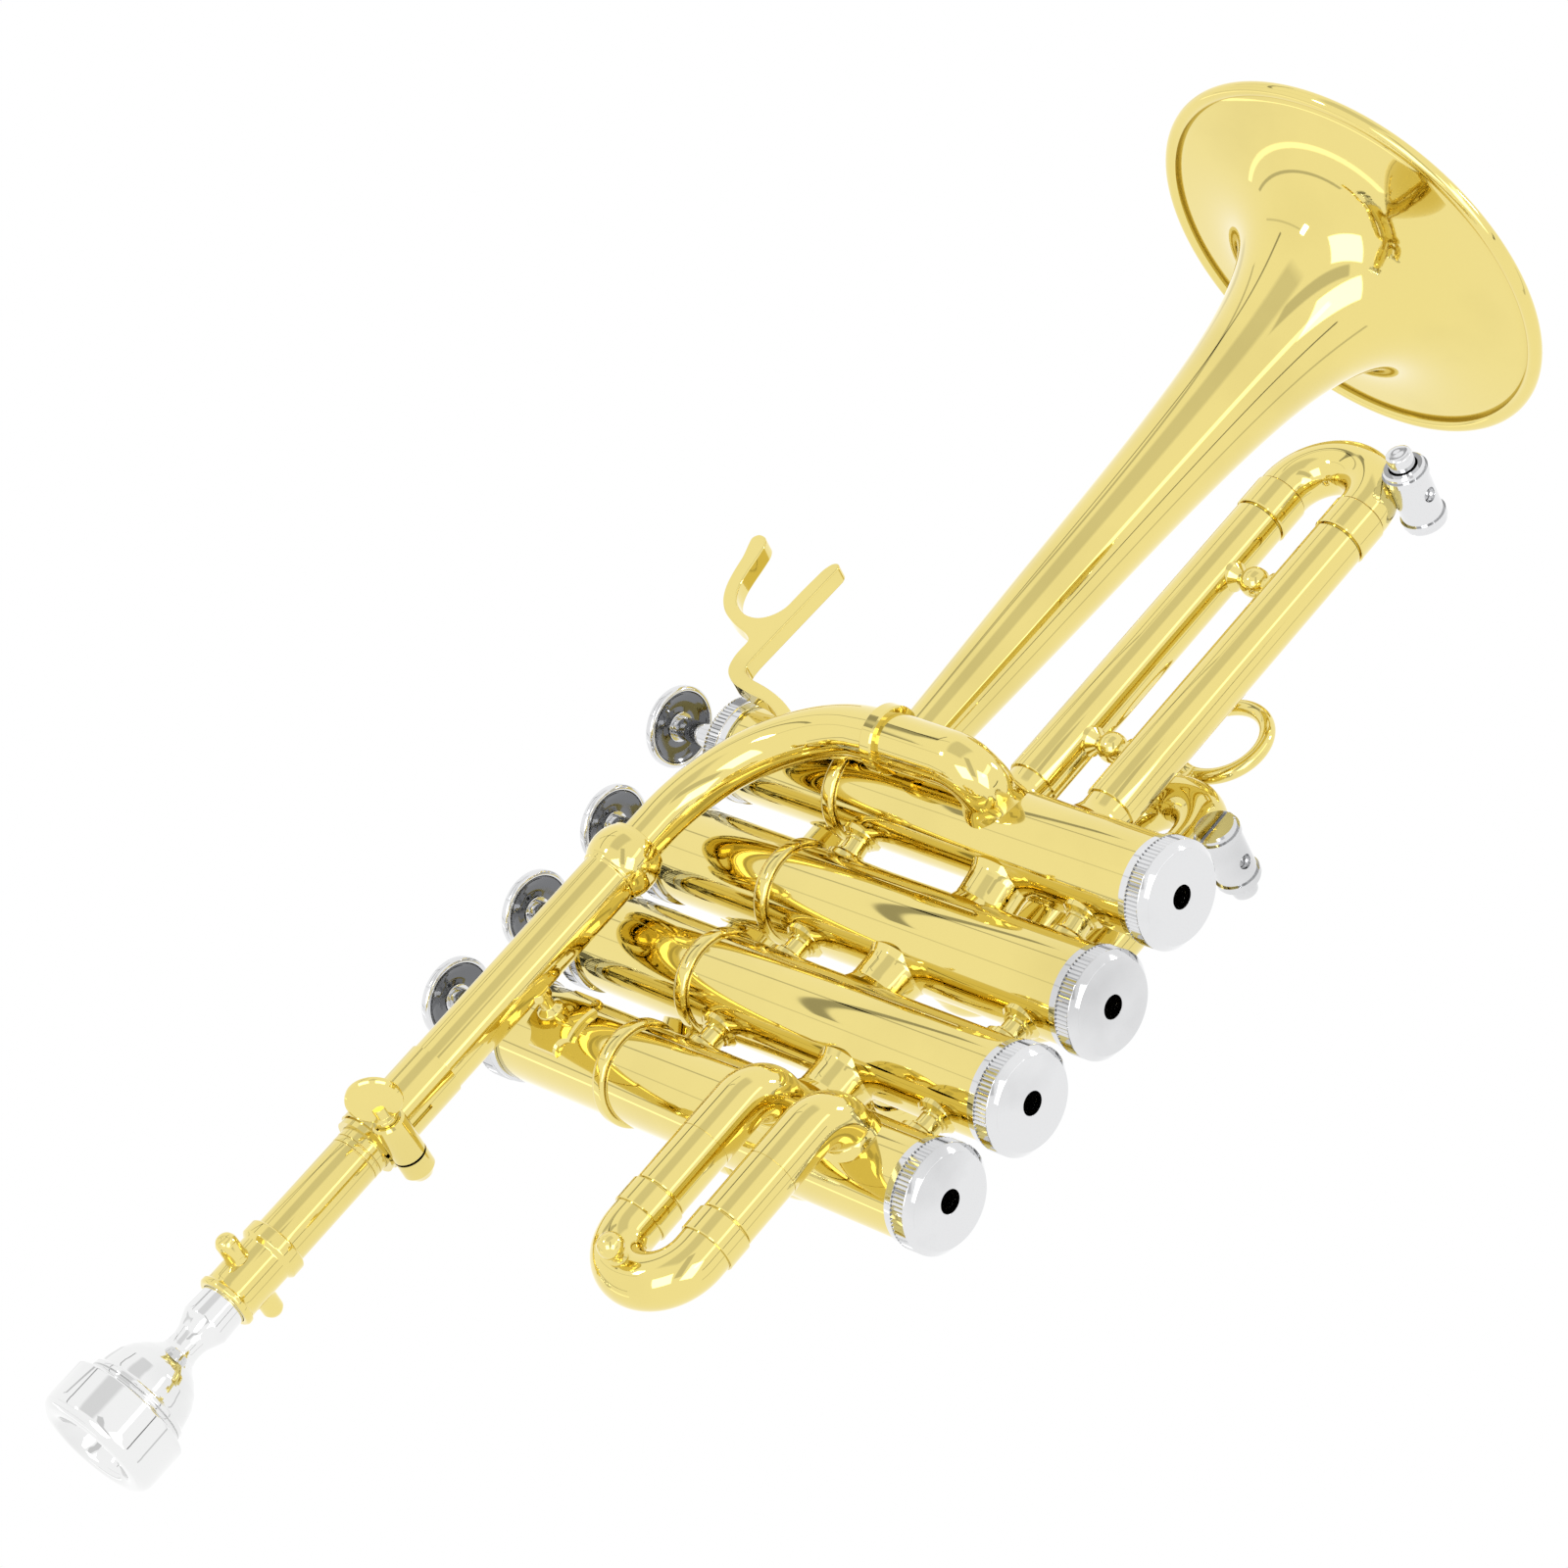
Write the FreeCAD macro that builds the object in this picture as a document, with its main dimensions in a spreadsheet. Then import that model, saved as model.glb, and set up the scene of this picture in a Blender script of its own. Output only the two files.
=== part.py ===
import FreeCAD, Part
import math
import os
import re

import Sketcher

# Frame: +X from the mouthpiece to the bell, +Y to the player's left, +Z from the
# bottom caps to the finger buttons. The axis of the first valve is x = 0, y = 0 and
# the faces of the bottom caps are z = 0. All lengths are millimetres.

SIZES = [
    # valve block
    ("valve_pitch", 25.8),
    ("fourth_valve_shift", 5.0),
    ("casing_radius", 10.4),
    ("casing_bore_radius", 8.65),
    ("chamber_radius", 9.2),
    ("casing_bottom", 2.0),
    ("casing_neck", 3.0),
    ("band_drop", 1.4),
    ("neck_radius", 9.9),
    ("band_height", 3.4),
    ("band_radius", 11.3),
    ("band_bevel", 0.6),
    ("seam_depth", 0.35),
    ("seam_width", 0.5),
    ("joint_seam", 0.04),
    ("passage_radius", 3.2),
    # caps
    ("cap_radius", 11.25),
    ("cap_lip_radius", 11.0),
    ("cap_bore_radius", 9.95),
    ("cap_face_radius", 9.8),
    ("cap_bevel_height", 1.5),
    ("cap_floor", 1.4),
    ("cap_grip_height", 3.4),
    ("cap_skirt_top", 6.8),
    ("vent_radius", 2.5),
    ("flute_radius", 0.75),
    ("flute_depth", 0.4),
    ("flute_end_gap", 0.35),
    ("top_cap_lip", 2.0),
    ("cap_roof_gap", 0.4),
    ("crown_radius", 9.7),
    ("crown_bevel", 1.1),
    ("crown_inner_radius", 7.6),
    ("crown_rise", 1.0),
    ("hub_radius", 4.8),
    ("hub_rise", 1.1),
    ("stem_hole_radius", 2.9),
    ("inner_felt_radius", 8.2),
    ("inner_felt_bore_radius", 3.3),
    ("inner_felt_height", 2.3),
    ("outer_felt_radius", 4.3),
    ("outer_felt_height", 1.4),
    # pistons, stems and buttons
    ("piston_radius", 8.6),
    ("piston_bottom", 16.0),
    ("piston_rim", 1.2),
    ("piston_web", 4.7),
    ("barrel_depth", 5.2),
    ("barrel_bore_radius", 7.4),
    ("barrel_plate", 3.0),
    ("spring_room", 17.4),
    ("felt_gap", 0.4),
    ("stroke", 13.6),
    ("slot_clearance", 0.5),
    ("guide_side_clearance", 0.05),
    ("guide_radius", 7.0),
    ("guide_reach", 9.1),
    ("guide_arm_width", 3.0),
    ("guide_thickness", 1.5),
    ("guide_hole_radius", 2.2),
    ("stem_radius", 2.5),
    ("stem_tail_radius", 1.9),
    ("tail_clearance", 0.04),
    ("button_radius", 9.0),
    ("button_thickness", 2.2),
    ("button_recess", 1.1),
    ("button_boss_setback", 0.3),
    ("button_roof", 0.5),
    ("button_boss_radius", 3.3),
    ("button_recess_radius", 7.7),
    ("button_bead", 0.45),
    ("button_edge", 0.6),
    ("spring_outer_radius", 6.4),
    ("spring_inner_radius", 5.4),
    ("spring_seat_gap", 0.05),
    # heights of the ports in the casings
    ("knuckle_one_two", 42.5),
    ("knuckle_two_three", 51.0),
    ("knuckle_three_four", 42.0),
    ("first_loop_upper", 40.5),
    ("first_loop_lower", 22.0),
    ("second_loop_upper", 60.5),
    ("second_loop_lower", 44.0),
    ("third_loop_upper", 48.0),
    ("third_loop_lower", 29.5),
    ("fourth_loop_upper", 51.5),
    ("fourth_loop_lower", 30.3),
    ("bell_port", 47.0),
    ("pipe_port", 47.0),
    ("bell_side_shift", 3.5),
    ("pipe_side_shift", 1.1),
    ("passage_detour", 4.5),
    ("passage_sidestep", 3.2),
    ("passage_lift", 5.4),
    ("passage_lead_in", 6.2),
    ("passage_overrun", 9.6),
    # tubing
    ("tube_radius", 5.6),
    ("tube_bore_radius", 5.1),
    ("leg_radius", 5.05),
    ("leg_bore_radius", 4.5),
    ("ferrule_radius", 6.0),
    ("knuckle_radius", 6.5),
    ("knuckle_bore_radius", 5.0),
    ("slide_gap", 0.5),
    ("spool_end_radius", 4.2),
    ("spool_waist_radius", 2.6),
    ("spool_ridge_radius", 3.5),
    ("spool_ridge_width", 0.5),
    ("spool_waist_half", 1.3),
    ("upper_spool_one", 78.0),
    ("upper_spool_two", 76.5),
    ("upper_spool_three", 80.7),
    ("lower_spool_one", 17.0),
    ("lower_spool_two", 16.0),
    ("lower_spool_three", 19.0),
    # first valve slide, near side
    ("first_slide_offset", 19.0),
    ("first_slide_bend", 7.5),
    ("first_slide_leg_end", 31.5),
    ("first_bow_centre", 39.9),
    ("first_slide_insert", 13.0),
    ("knob_radius", 2.7),
    ("knob_neck_radius", 1.3),
    ("knob_reach", 7.3),
    ("knob_lift", 0.75),
    # second valve slide, far side
    ("second_stub_end", 13.6),
    ("second_bow_centre", 16.2),
    ("second_slide_insert", 3.2),
    # third valve slide, far side
    ("third_slide_offset", 19.0),
    ("third_slide_bend", 8.0),
    ("third_slide_leg_end", 96.0),
    ("third_bow_centre", 104.0),
    ("third_slide_insert", 20.0),
    ("finger_ring_radius", 9.8),
    ("finger_ring_wire", 1.7),
    ("finger_ring_x", 130.4),
    ("finger_ring_z", 42.1),
    # fourth valve slide
    ("fourth_stub_radius", 5.2),
    ("fourth_stub_end", 91.0),
    ("fourth_tube_radius", 5.7),
    ("fourth_tube_end", 169.0),
    ("fourth_bow_centre", 178.0),
    ("fourth_slide_insert", 40.0),
    ("brace_ball_radius", 3.25),
    ("brace_post_radius", 1.5),
    ("brace_foot_radius", 3.0),
    ("brace_foot_height", 1.4),
    ("brace_near_x", 105.0),
    ("brace_far_x", 154.0),
    # water keys
    ("first_key_x", 187.2),
    ("first_key_z", 23.6),
    ("second_key_x", 104.5),
    ("second_key_z", 20.0),
    ("key_radius", 4.5),
    ("key_bore_radius", 3.15),
    ("key_front", 7.0),
    ("key_back", 9.0),
    ("key_cap_thickness", 1.5),
    ("key_ring_height", 0.4),
    ("key_ring_width", 1.2),
    ("key_button_radius", 2.8),
    ("key_button_tip", 10.5),
    ("key_button_base", 6.0),
    ("key_rod_radius", 1.5),
    ("key_seal_radius", 3.1),
    ("key_seal_half", 1.5),
    ("key_rod_end", 4.2),
    ("key_drain_radius", 1.6),
    ("key_slot_width", 0.9),
    ("key_slot_depth", 0.6),
    ("key_nozzle_radius", 3.2),
    ("key_nozzle_length", 7.0),
    # mouthpiece line
    ("pipe_offset", 19.0),
    ("pipe_drop", 6.9),
    ("mouthpiece_end", 128.0),
    ("mouthpiece_inner_rim_radius", 8.4),
    ("mouthpiece_rim_flat_radius", 12.0),
    ("mouthpiece_radius", 13.4),
    ("mouthpiece_rim_round", 1.6),
    ("mouthpiece_rim_back", 115.0),
    ("mouthpiece_step_radius", 12.3),
    ("mouthpiece_step_width", 1.0),
    ("mouthpiece_bowl_radius", 11.5),
    ("mouthpiece_bowl_x", 112.0),
    ("mouthpiece_bowl_back", 106.0),
    ("mouthpiece_bowl_back_radius", 7.2),
    ("mouthpiece_neck_x", 102.0),
    ("mouthpiece_neck_radius", 3.1),
    ("mouthpiece_flare_x", 95.0),
    ("mouthpiece_flare_radius", 5.2),
    ("mouthpiece_shank_end", 65.6),
    ("mouthpiece_shank_end_radius", 4.3),
    ("cup_mouth_radius", 8.0),
    ("cup_middle_x", 121.5),
    ("cup_middle_radius", 6.6),
    ("cup_floor_x", 117.8),
    ("cup_floor_radius", 3.2),
    ("throat_x", 115.4),
    ("throat_radius", 1.85),
    ("throat_end_x", 105.0),
    ("backbore_radius", 3.6),
    ("receiver_end", 89.6),
    ("receiver_radius", 5.8),
    ("receiver_bore_radius", 5.0),
    ("receiver_taper_clearance", 0.03),
    ("receiver_lip_radius", 6.4),
    ("receiver_lip_width", 1.6),
    ("receiver_ring_radius", 6.7),
    ("receiver_ring_width", 3.4),
    ("receiver_back", 73.2),
    ("peg_radius", 2.25),
    ("peg_reach", 11.5),
    ("peg_x", 82.0),
    ("peg_edge", 0.5),
    ("shank_radius", 5.6),
    ("shank_end", 30.2),
    ("shank_groove_x", 51.0),
    ("shank_groove_pitch", 1.5),
    ("shank_groove_width", 0.4),
    ("shank_groove_depth", 0.25),
    ("sleeve_start", 47.3),
    ("sleeve_end", 25.6),
    ("sleeve_radius", 6.4),
    ("sleeve_bore_radius", 5.65),
    ("sleeve_ring_radius", 6.9),
    ("sleeve_ring_width", 1.2),
    ("ring_clearance", 0.1),
    ("sleeve_slot_width", 1.0),
    ("sleeve_slot_length", 14.0),
    ("collar_bore_radius", 6.44),
    ("collar_radius", 7.3),
    ("collar_half_width", 2.2),
    ("collar_x", 43.6),
    ("lug_radius", 3.5),
    ("lug_near", 27.0),
    ("lug_far", 12.6),
    ("lug_drop", 8.5),
    ("lug_split_y", 16.9),
    ("lug_split_width", 0.6),
    ("screw_radius", 1.4),
    ("screw_clearance", 0.05),
    ("screw_tab_y", 32.8),
    ("screw_tab_radius", 5.8),
    ("screw_tab_thickness", 1.6),
    ("screw_collar_radius", 2.4),
    ("screw_collar_gap", 0.05),
    ("screw_collar_length", 1.2),
    ("pipe_radius", 6.0),
    ("pipe_bore_radius", 4.3),
    ("pipe_plug", 4.0),
    ("ball_x", 33.5),
    ("ball_radius", 7.8),
    ("ball_half", 4.3),
    ("crook_start_radius", 4.8),
    ("crook_end_radius", 5.8),
    ("crook_wall", 0.7),
    ("crook_leg_y", 24.3),
    ("crook_ring_radius", 7.2),
    ("crook_ring_half", 1.8),
    ("crook_leg_length", 6.6),
    ("elbow_leg", 17.4),
    ("crook_foot_gap", 0.9),
    ("crook_cuff_clearance", 0.3),
    ("elbow_bend", 7.1),
    ("elbow_wall", 1.0),
    ("elbow_foot_radius", 7.0),
    ("flange_thickness", 0.8),
    ("flange_gap", 8.0),
    ("flange_height", 13.0),
    ("flange_notch", 2.6),
    ("pipe_post_drop", 5.1),
    ("bell_post_drop", 2.4),
    ("post_radius", 2.2),
    ("post_waist_radius", 1.5),
    # bell line
    ("bell_offset", 19.5),
    ("bell_drop", 9.6),
    ("bell_crook_radius", 5.8),
    ("bell_crook_wall", 0.7),
    ("bell_wall", 0.8),
    ("bell_elbow_bend", 8.5),
    ("bell_leg", 17.9),
    ("bell_ferrule_radius", 6.5),
    ("bell_ferrule_half", 2.5),
    ("bell_tail_clearance", 0.12),
    ("bell_brace_clearance", 0.28),
    ("bell_pole_two_x", 58.1),
    ("bell_pole_two_radius", 6.2),
    ("bell_pole_three_x", 94.6),
    ("bell_pole_three_radius", 5.85),
    ("bell_pole_four_x", 150.5),
    ("bell_pole_four_radius", 9.0),
    ("bell_pole_five_x", 204.4),
    ("bell_pole_five_radius", 10.4),
    ("bell_pole_six_x", 262.9),
    ("bell_pole_six_radius", 17.3),
    ("bell_pole_seven_x", 264.0),
    ("bell_pole_seven_radius", 42.1),
    ("bell_rim_x", 265.8),
    ("bell_rim_radius", 49.4),
    ("bell_bead_radius", 1.4),
    # finger hook, points of the plate's outline
    ("hook_thickness", 3.8),
    ("hook_ahead", 31.0),
    ("hook_drop", 11.9),
    ("hook_length", 44.4),
    ("hook_height", 49.3),
    ("hook_seat", 0.04),
]

# Outline of the finger hook from the side, as shares of its length and height, foot first.
HOOK_SHARES = [
    (0.000, 0.026), (0.081, 0.000), (0.160, 0.128), (0.203, 0.256), (0.221, 0.389),
    (0.245, 0.442), (0.306, 0.454), (0.937, 0.434), (0.968, 0.454), (0.959, 0.483),
    (0.914, 0.503), (0.748, 0.515), (0.633, 0.517), (0.570, 0.552), (0.532, 0.606),
    (0.527, 0.684), (0.565, 0.761), (0.622, 0.813), (0.691, 0.846), (0.773, 0.864),
    (0.872, 0.880), (0.950, 0.897), (0.995, 0.929), (1.000, 0.978), (0.968, 1.000),
    (0.914, 0.982), (0.851, 0.957), (0.752, 0.937), (0.658, 0.909), (0.579, 0.866),
    (0.511, 0.799), (0.455, 0.702), (0.419, 0.617), (0.374, 0.576), (0.300, 0.556),
    (0.221, 0.515), (0.151, 0.438), (0.117, 0.325), (0.108, 0.227), (0.077, 0.142),
]

# Sizes worked out from the others. Heights run from the cap faces up through the valve.
DERIVED = {
    "barrel_floor": "second_loop_upper + stroke + passage_radius + piston_web",
    "ledge_height": "barrel_floor + barrel_depth",
    "band_bottom": "ledge_height - band_drop",
    "band_top": "band_bottom + band_height",
    "barrel_top": "ledge_height + guide_thickness + stroke + spring_room",
    "top_cap_ceiling": "barrel_top + felt_gap + inner_felt_height",
    "casing_top": "top_cap_ceiling - cap_roof_gap",
    "casing_shoulder": "casing_top - casing_neck",
    "crown_edge_height": "casing_shoulder + top_cap_lip + cap_grip_height + crown_bevel",
    "crown_height": "crown_edge_height + crown_rise",
    "hub_height": "crown_height + hub_rise",
    "button_bottom": "hub_height + outer_felt_height + stroke",
    "button_top": "button_bottom + button_thickness",
    "button_ceiling": "button_bottom + button_recess",
    "button_boss_bottom": "button_bottom + button_boss_setback",
    "button_socket_top": "button_top - button_roof",
    "fourth_step": "sqrt(valve_pitch ^ 2 - fourth_valve_shift ^ 2)",
    "fourth_tilt": "atan(fourth_valve_shift / fourth_step)",
    "fourth_x": "2 * valve_pitch + fourth_step",
    "pipe_height": "casing_shoulder - pipe_drop",
    "mouthpiece_taper": "(receiver_bore_radius - receiver_taper_clearance - mouthpiece_shank_end_radius)"
                        " / (receiver_end - mouthpiece_shank_end)",
    "receiver_seat": "receiver_back + receiver_ring_width",
    "receiver_seat_radius": "receiver_bore_radius - (receiver_end - receiver_seat) * mouthpiece_taper",
    "lug_z": "pipe_height - lug_drop",
    "crook_leg_foot": "pipe_port + elbow_bend + elbow_leg",
    "crook_bend": "pipe_height - crook_leg_foot - crook_leg_length",
    "crook_x": "fourth_x + pipe_side_shift - crook_bend",
    "crook_lean": "-atan((crook_leg_y - pipe_offset) / (pipe_height - crook_leg_foot))",
    "flange_top": "casing_shoulder - flange_gap",
    "flange_bottom": "flange_top - flange_height",
    "bell_height": "casing_shoulder - bell_drop",
    "bell_elbow_z": "bell_port + bell_elbow_bend",
    "bell_crook_bend": "bell_height - bell_elbow_z - bell_leg",
    "bell_crook_x": "bell_side_shift + bell_crook_bend",
}

FLUTES = 30
MATHS = ("sqrt", "sin", "cos", "atan", "abs")

doc = FreeCAD.newDocument("piccolo_trumpet")
sheet = doc.addObject("Spreadsheet::Sheet", "Sizes")


def fill_sheet():
    """Write every driving length into the sheet under its own name."""
    for row, (alias, amount) in enumerate(SIZES, start=1):
        sheet.set(f"A{row}", alias)
        sheet.set(f"B{row}", str(amount))
        sheet.setAlias(f"B{row}", alias)
    doc.recompute()


def bound(text):
    """Point each name in a formula at its cell in the sheet, or at the formula behind it."""
    def swap(match):
        word = match.group(0)
        if word in DERIVED:
            return "(" + bound(DERIVED[word]) + ")"
        return word if word in MATHS else "Sizes." + word
    return re.sub(r"[a-z][a-z_]*", swap, text)


def value(text):
    """The number that a formula gives with the sizes in the sheet."""
    answer = sheet.evalExpression(bound(text))
    return float(getattr(answer, "Value", answer))


def fix(sketch, edge, point, u, v):
    """Tie one point of a sketch to two formulas."""
    for kind, text, axis in (("DistanceX", u, -2), ("DistanceY", v, -1)):
        if text == "0":
            sketch.addConstraint(Sketcher.Constraint("PointOnObject", edge, point, axis))
        else:
            rule = Sketcher.Constraint(kind, -1, 1, edge, point, value(text))
            index = sketch.addConstraint(rule)
            sketch.setExpression(f"Constraints[{index}]", bound(text))


def new_body(label, at=("0", "0", "0"), turn=0, turn_text=None, lean=False):
    """A body at its own place, with the place tied to the sheet."""
    body = doc.addObject("PartDesign::Body", label)
    body.Label = label
    put(body, at, turn, turn_text, lean)
    return body


def put(thing, at, turn=0, turn_text=None, lean=False):
    """Set the Placement of an object and tie each coordinate to its formula."""
    angle = value(turn_text) if turn_text else turn
    axis = FreeCAD.Vector(1, 0, 0) if lean else FreeCAD.Vector(0, 0, 1)
    spin = FreeCAD.Rotation(axis, angle)
    thing.Placement = FreeCAD.Placement(FreeCAD.Vector(*[value(t) for t in at]), spin)
    for axis, text in zip("xyz", at):
        if text != "0":
            thing.setExpression(f"Placement.Base.{axis}", bound(text))
    if turn_text:
        thing.setExpression("Placement.Rotation.Angle", bound(turn_text))


def blank(body, name, plane, shift=("0", "0", "0"), turn_text=None):
    """An empty sketch on a plane of the body, moved within that plane's own axes."""
    sketch = body.newObject("Sketcher::SketchObject", name)
    role = plane + "_Plane"
    support = [item for item in body.Origin.OriginFeatures if item.Role == role][0]
    sketch.AttachmentSupport = [(support, "")]
    sketch.MapMode = "FlatFace"
    spin = FreeCAD.Rotation()
    if turn_text:
        spin = FreeCAD.Rotation(FreeCAD.Vector(0, 1, 0), value(turn_text))
    base = FreeCAD.Vector(*[value(t) for t in shift])
    sketch.AttachmentOffset = FreeCAD.Placement(base, spin)
    for axis, text in zip("xyz", shift):
        if text != "0":
            sketch.setExpression(f"AttachmentOffset.Base.{axis}", bound(text))
    if turn_text:
        sketch.setExpression("AttachmentOffset.Rotation.Angle", bound(turn_text))
    return sketch


def polygon(body, name, plane, points, shift=("0", "0", "0")):
    """A closed outline of straight lines with every corner tied to the sheet."""
    sketch = blank(body, name, plane, shift)
    spots = [FreeCAD.Vector(value(u), value(v), 0) for u, v in points]
    count = len(points)
    lines = [Part.LineSegment(spots[i], spots[(i + 1) % count]) for i in range(count)]
    sketch.addGeometry(lines, False)
    joins = [Sketcher.Constraint("Coincident", i, 2, (i + 1) % count, 1) for i in range(count)]
    sketch.addConstraint(joins)
    for i, (u, v) in enumerate(points):
        fix(sketch, i, 1, u, v)
    return sketch


def circles(body, name, plane, rounds, shift=("0", "0", "0"), turn_text=None):
    """A sketch of circles, each given as centre and radius formulas."""
    sketch = blank(body, name, plane, shift, turn_text)
    for i, (u, v, radius) in enumerate(rounds):
        centre = FreeCAD.Vector(value(u), value(v), 0)
        sketch.addGeometry(Part.Circle(centre, FreeCAD.Vector(0, 0, 1), value(radius)), False)
        if u == "0" and v == "0":
            sketch.addConstraint(Sketcher.Constraint("Coincident", i, 3, -1, 1))
        else:
            fix(sketch, i, 3, u, v)
        index = sketch.addConstraint(Sketcher.Constraint("Radius", i, value(radius)))
        sketch.setExpression(f"Constraints[{index}]", bound(radius))
    return sketch


def half_disc(body, name, plane, radius, shift=("0", "0", "0")):
    """Half a disc beside the sketch's own vertical axis."""
    sketch = blank(body, name, plane, shift)
    size = value(radius)
    circle = Part.Circle(FreeCAD.Vector(0, 0, 0), FreeCAD.Vector(0, 0, 1), size)
    sketch.addGeometry(Part.ArcOfCircle(circle, -math.pi / 2, math.pi / 2), False)
    sketch.addGeometry(Part.LineSegment(FreeCAD.Vector(0, size, 0), FreeCAD.Vector(0, -size, 0)), False)
    sketch.addConstraint([
        Sketcher.Constraint("Coincident", 0, 3, -1, 1),
        Sketcher.Constraint("Coincident", 0, 2, 1, 1),
        Sketcher.Constraint("Coincident", 1, 2, 0, 1),
        Sketcher.Constraint("PointOnObject", 0, 1, -2),
        Sketcher.Constraint("PointOnObject", 0, 2, -2),
    ])
    index = sketch.addConstraint(Sketcher.Constraint("Radius", 0, size))
    sketch.setExpression(f"Constraints[{index}]", bound(radius))
    return sketch


def spin(body, sketch, axis="V_Axis", angle=360.0, back=False, middle=False, cut=False):
    """Turn a sketch round one of its own axes, as material or as a cut."""
    kind = "PartDesign::Groove" if cut else "PartDesign::Revolution"
    feature = body.newObject(kind, sketch.Name + "_spin")
    feature.Profile = sketch
    feature.ReferenceAxis = (sketch, [axis])
    feature.Angle = angle
    feature.Reversed = back
    feature.Midplane = middle
    body.Tip = feature
    return feature


def pad(body, sketch, length, back=False, middle=False, cut=False):
    """Push a sketch along its normal, as material or as a cut."""
    kind = "PartDesign::Pocket" if cut else "PartDesign::Pad"
    feature = body.newObject(kind, sketch.Name + "_pad")
    feature.Profile = sketch
    feature.Length = value(length)
    feature.setExpression("Length", bound(length))
    feature.Reversed = back
    feature.Midplane = middle
    body.Tip = feature
    return feature


def around(body, feature, sketch, count):
    """Repeat a feature evenly round the normal through the sketch's origin."""
    pattern = body.newObject("PartDesign::PolarPattern", feature.Name + "_row")
    pattern.Originals = [feature]
    pattern.Axis = (sketch, ["N_Axis"])
    pattern.Angle = 360
    pattern.Occurrences = count
    body.Tip = pattern


def ring(u, v, outer, inner):
    """The two circles of a tube's cross-section."""
    return [(u, v, outer), (u, v, inner)]


def group(label, parts):
    """One named node that holds several separate solids."""
    node = doc.addObject("Part::Compound", label)
    node.Label = label
    node.Links = parts
    return node


# Where the valves stand, and which ports each casing has. A port is its sketch plane,
# the side it opens to, its offset along the casing's side and its height.
VALVES = [
    ("1", ("0", "0", "0"), [
        ("YZ", "+", "0", "knuckle_one_two"),
        ("XZ", "+", "0", "first_loop_upper"),
        ("XZ", "+", "0", "first_loop_lower"),
        ("XZ", "-", "bell_side_shift", "bell_port"),
    ]),
    ("2", ("valve_pitch", "0", "0"), [
        ("YZ", "-", "0", "knuckle_one_two"),
        ("YZ", "+", "0", "knuckle_two_three"),
        ("XZ", "-", "0", "second_loop_upper"),
        ("XZ", "-", "0", "second_loop_lower"),
    ]),
    ("3", ("2 * valve_pitch", "0", "0"), [
        ("YZ", "-", "0", "knuckle_two_three"),
        ("YZ", "turned", "0", "knuckle_three_four"),
        ("XZ", "-", "0", "third_loop_upper"),
        ("XZ", "-", "0", "third_loop_lower"),
    ]),
    ("4", ("2 * valve_pitch + sqrt(valve_pitch ^ 2 - fourth_valve_shift ^ 2)",
           "-fourth_valve_shift", "0"), [
        ("YZ", "turned back", "0", "knuckle_three_four"),
        ("XZ", "+", "pipe_side_shift", "pipe_port"),
        ("YZ", "+", "0", "fourth_loop_upper"),
        ("YZ", "+", "0", "fourth_loop_lower"),
    ]),
]


def casing(number, at, ports):
    """A valve casing with its threaded necks, guide ledge, moulding and ports."""
    body = new_body("valve_casing_" + number, at)
    wall = polygon(body, "wall", "XZ", [
        ("casing_bore_radius", "casing_bottom"),
        ("neck_radius", "casing_bottom"),
        ("neck_radius", "cap_skirt_top"),
        ("casing_radius", "cap_skirt_top"),
        ("casing_radius", "band_bottom - seam_width"),
        ("casing_radius - seam_depth", "band_bottom - seam_width"),
        ("casing_radius - seam_depth", "band_bottom"),
        ("band_radius - band_bevel / 2", "band_bottom"),
        ("band_radius", "band_bottom + band_bevel"),
        ("band_radius", "band_top - band_bevel"),
        ("band_radius - band_bevel", "band_top"),
        ("casing_radius", "band_top"),
        ("casing_radius", "casing_shoulder"),
        ("neck_radius", "casing_shoulder"),
        ("neck_radius", "casing_top"),
        ("chamber_radius", "casing_top"),
        ("chamber_radius", "ledge_height"),
        ("casing_bore_radius", "ledge_height"),
    ])
    spin(body, wall)
    for index, (plane, side, offset, height) in enumerate(ports):
        turn = {"turned": "-fourth_tilt", "turned back": "-fourth_tilt"}.get(side)
        hole = circles(body, f"port_{index}", plane, [(offset, height, "passage_radius")],
                       turn_text=turn)
        pad(body, hole, "cap_radius", back=side in ("+", "turned"), cut=True)
    return body


def bottom_cap(number, at):
    """A vented screw cap with a fluted grip, bevelled face and plain lip."""
    body = new_body("bottom_cap_" + number, at)
    shell = polygon(body, "shell", "XZ", [
        ("vent_radius", "0"),
        ("cap_face_radius", "0"),
        ("cap_radius", "cap_bevel_height"),
        ("cap_radius", "cap_bevel_height + cap_grip_height"),
        ("cap_lip_radius", "cap_bevel_height + cap_grip_height"),
        ("cap_lip_radius", "cap_skirt_top"),
        ("cap_bore_radius", "cap_skirt_top"),
        ("cap_bore_radius", "cap_floor"),
        ("vent_radius", "cap_floor"),
    ])
    spin(body, shell)
    flute_grip(body, "cap_bevel_height + flute_end_gap", "cap_grip_height - 2 * flute_end_gap")
    return body


def flute_grip(body, start, length):
    """Cut the grip's flutes round a cap."""
    centre = "cap_radius + flute_radius - flute_depth"
    flute = circles(body, "flute", "XY", [(centre, "0", "flute_radius")], ("0", "0", start))
    around(body, pad(body, flute, length, back=True, cut=True), flute, FLUTES)


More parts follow.
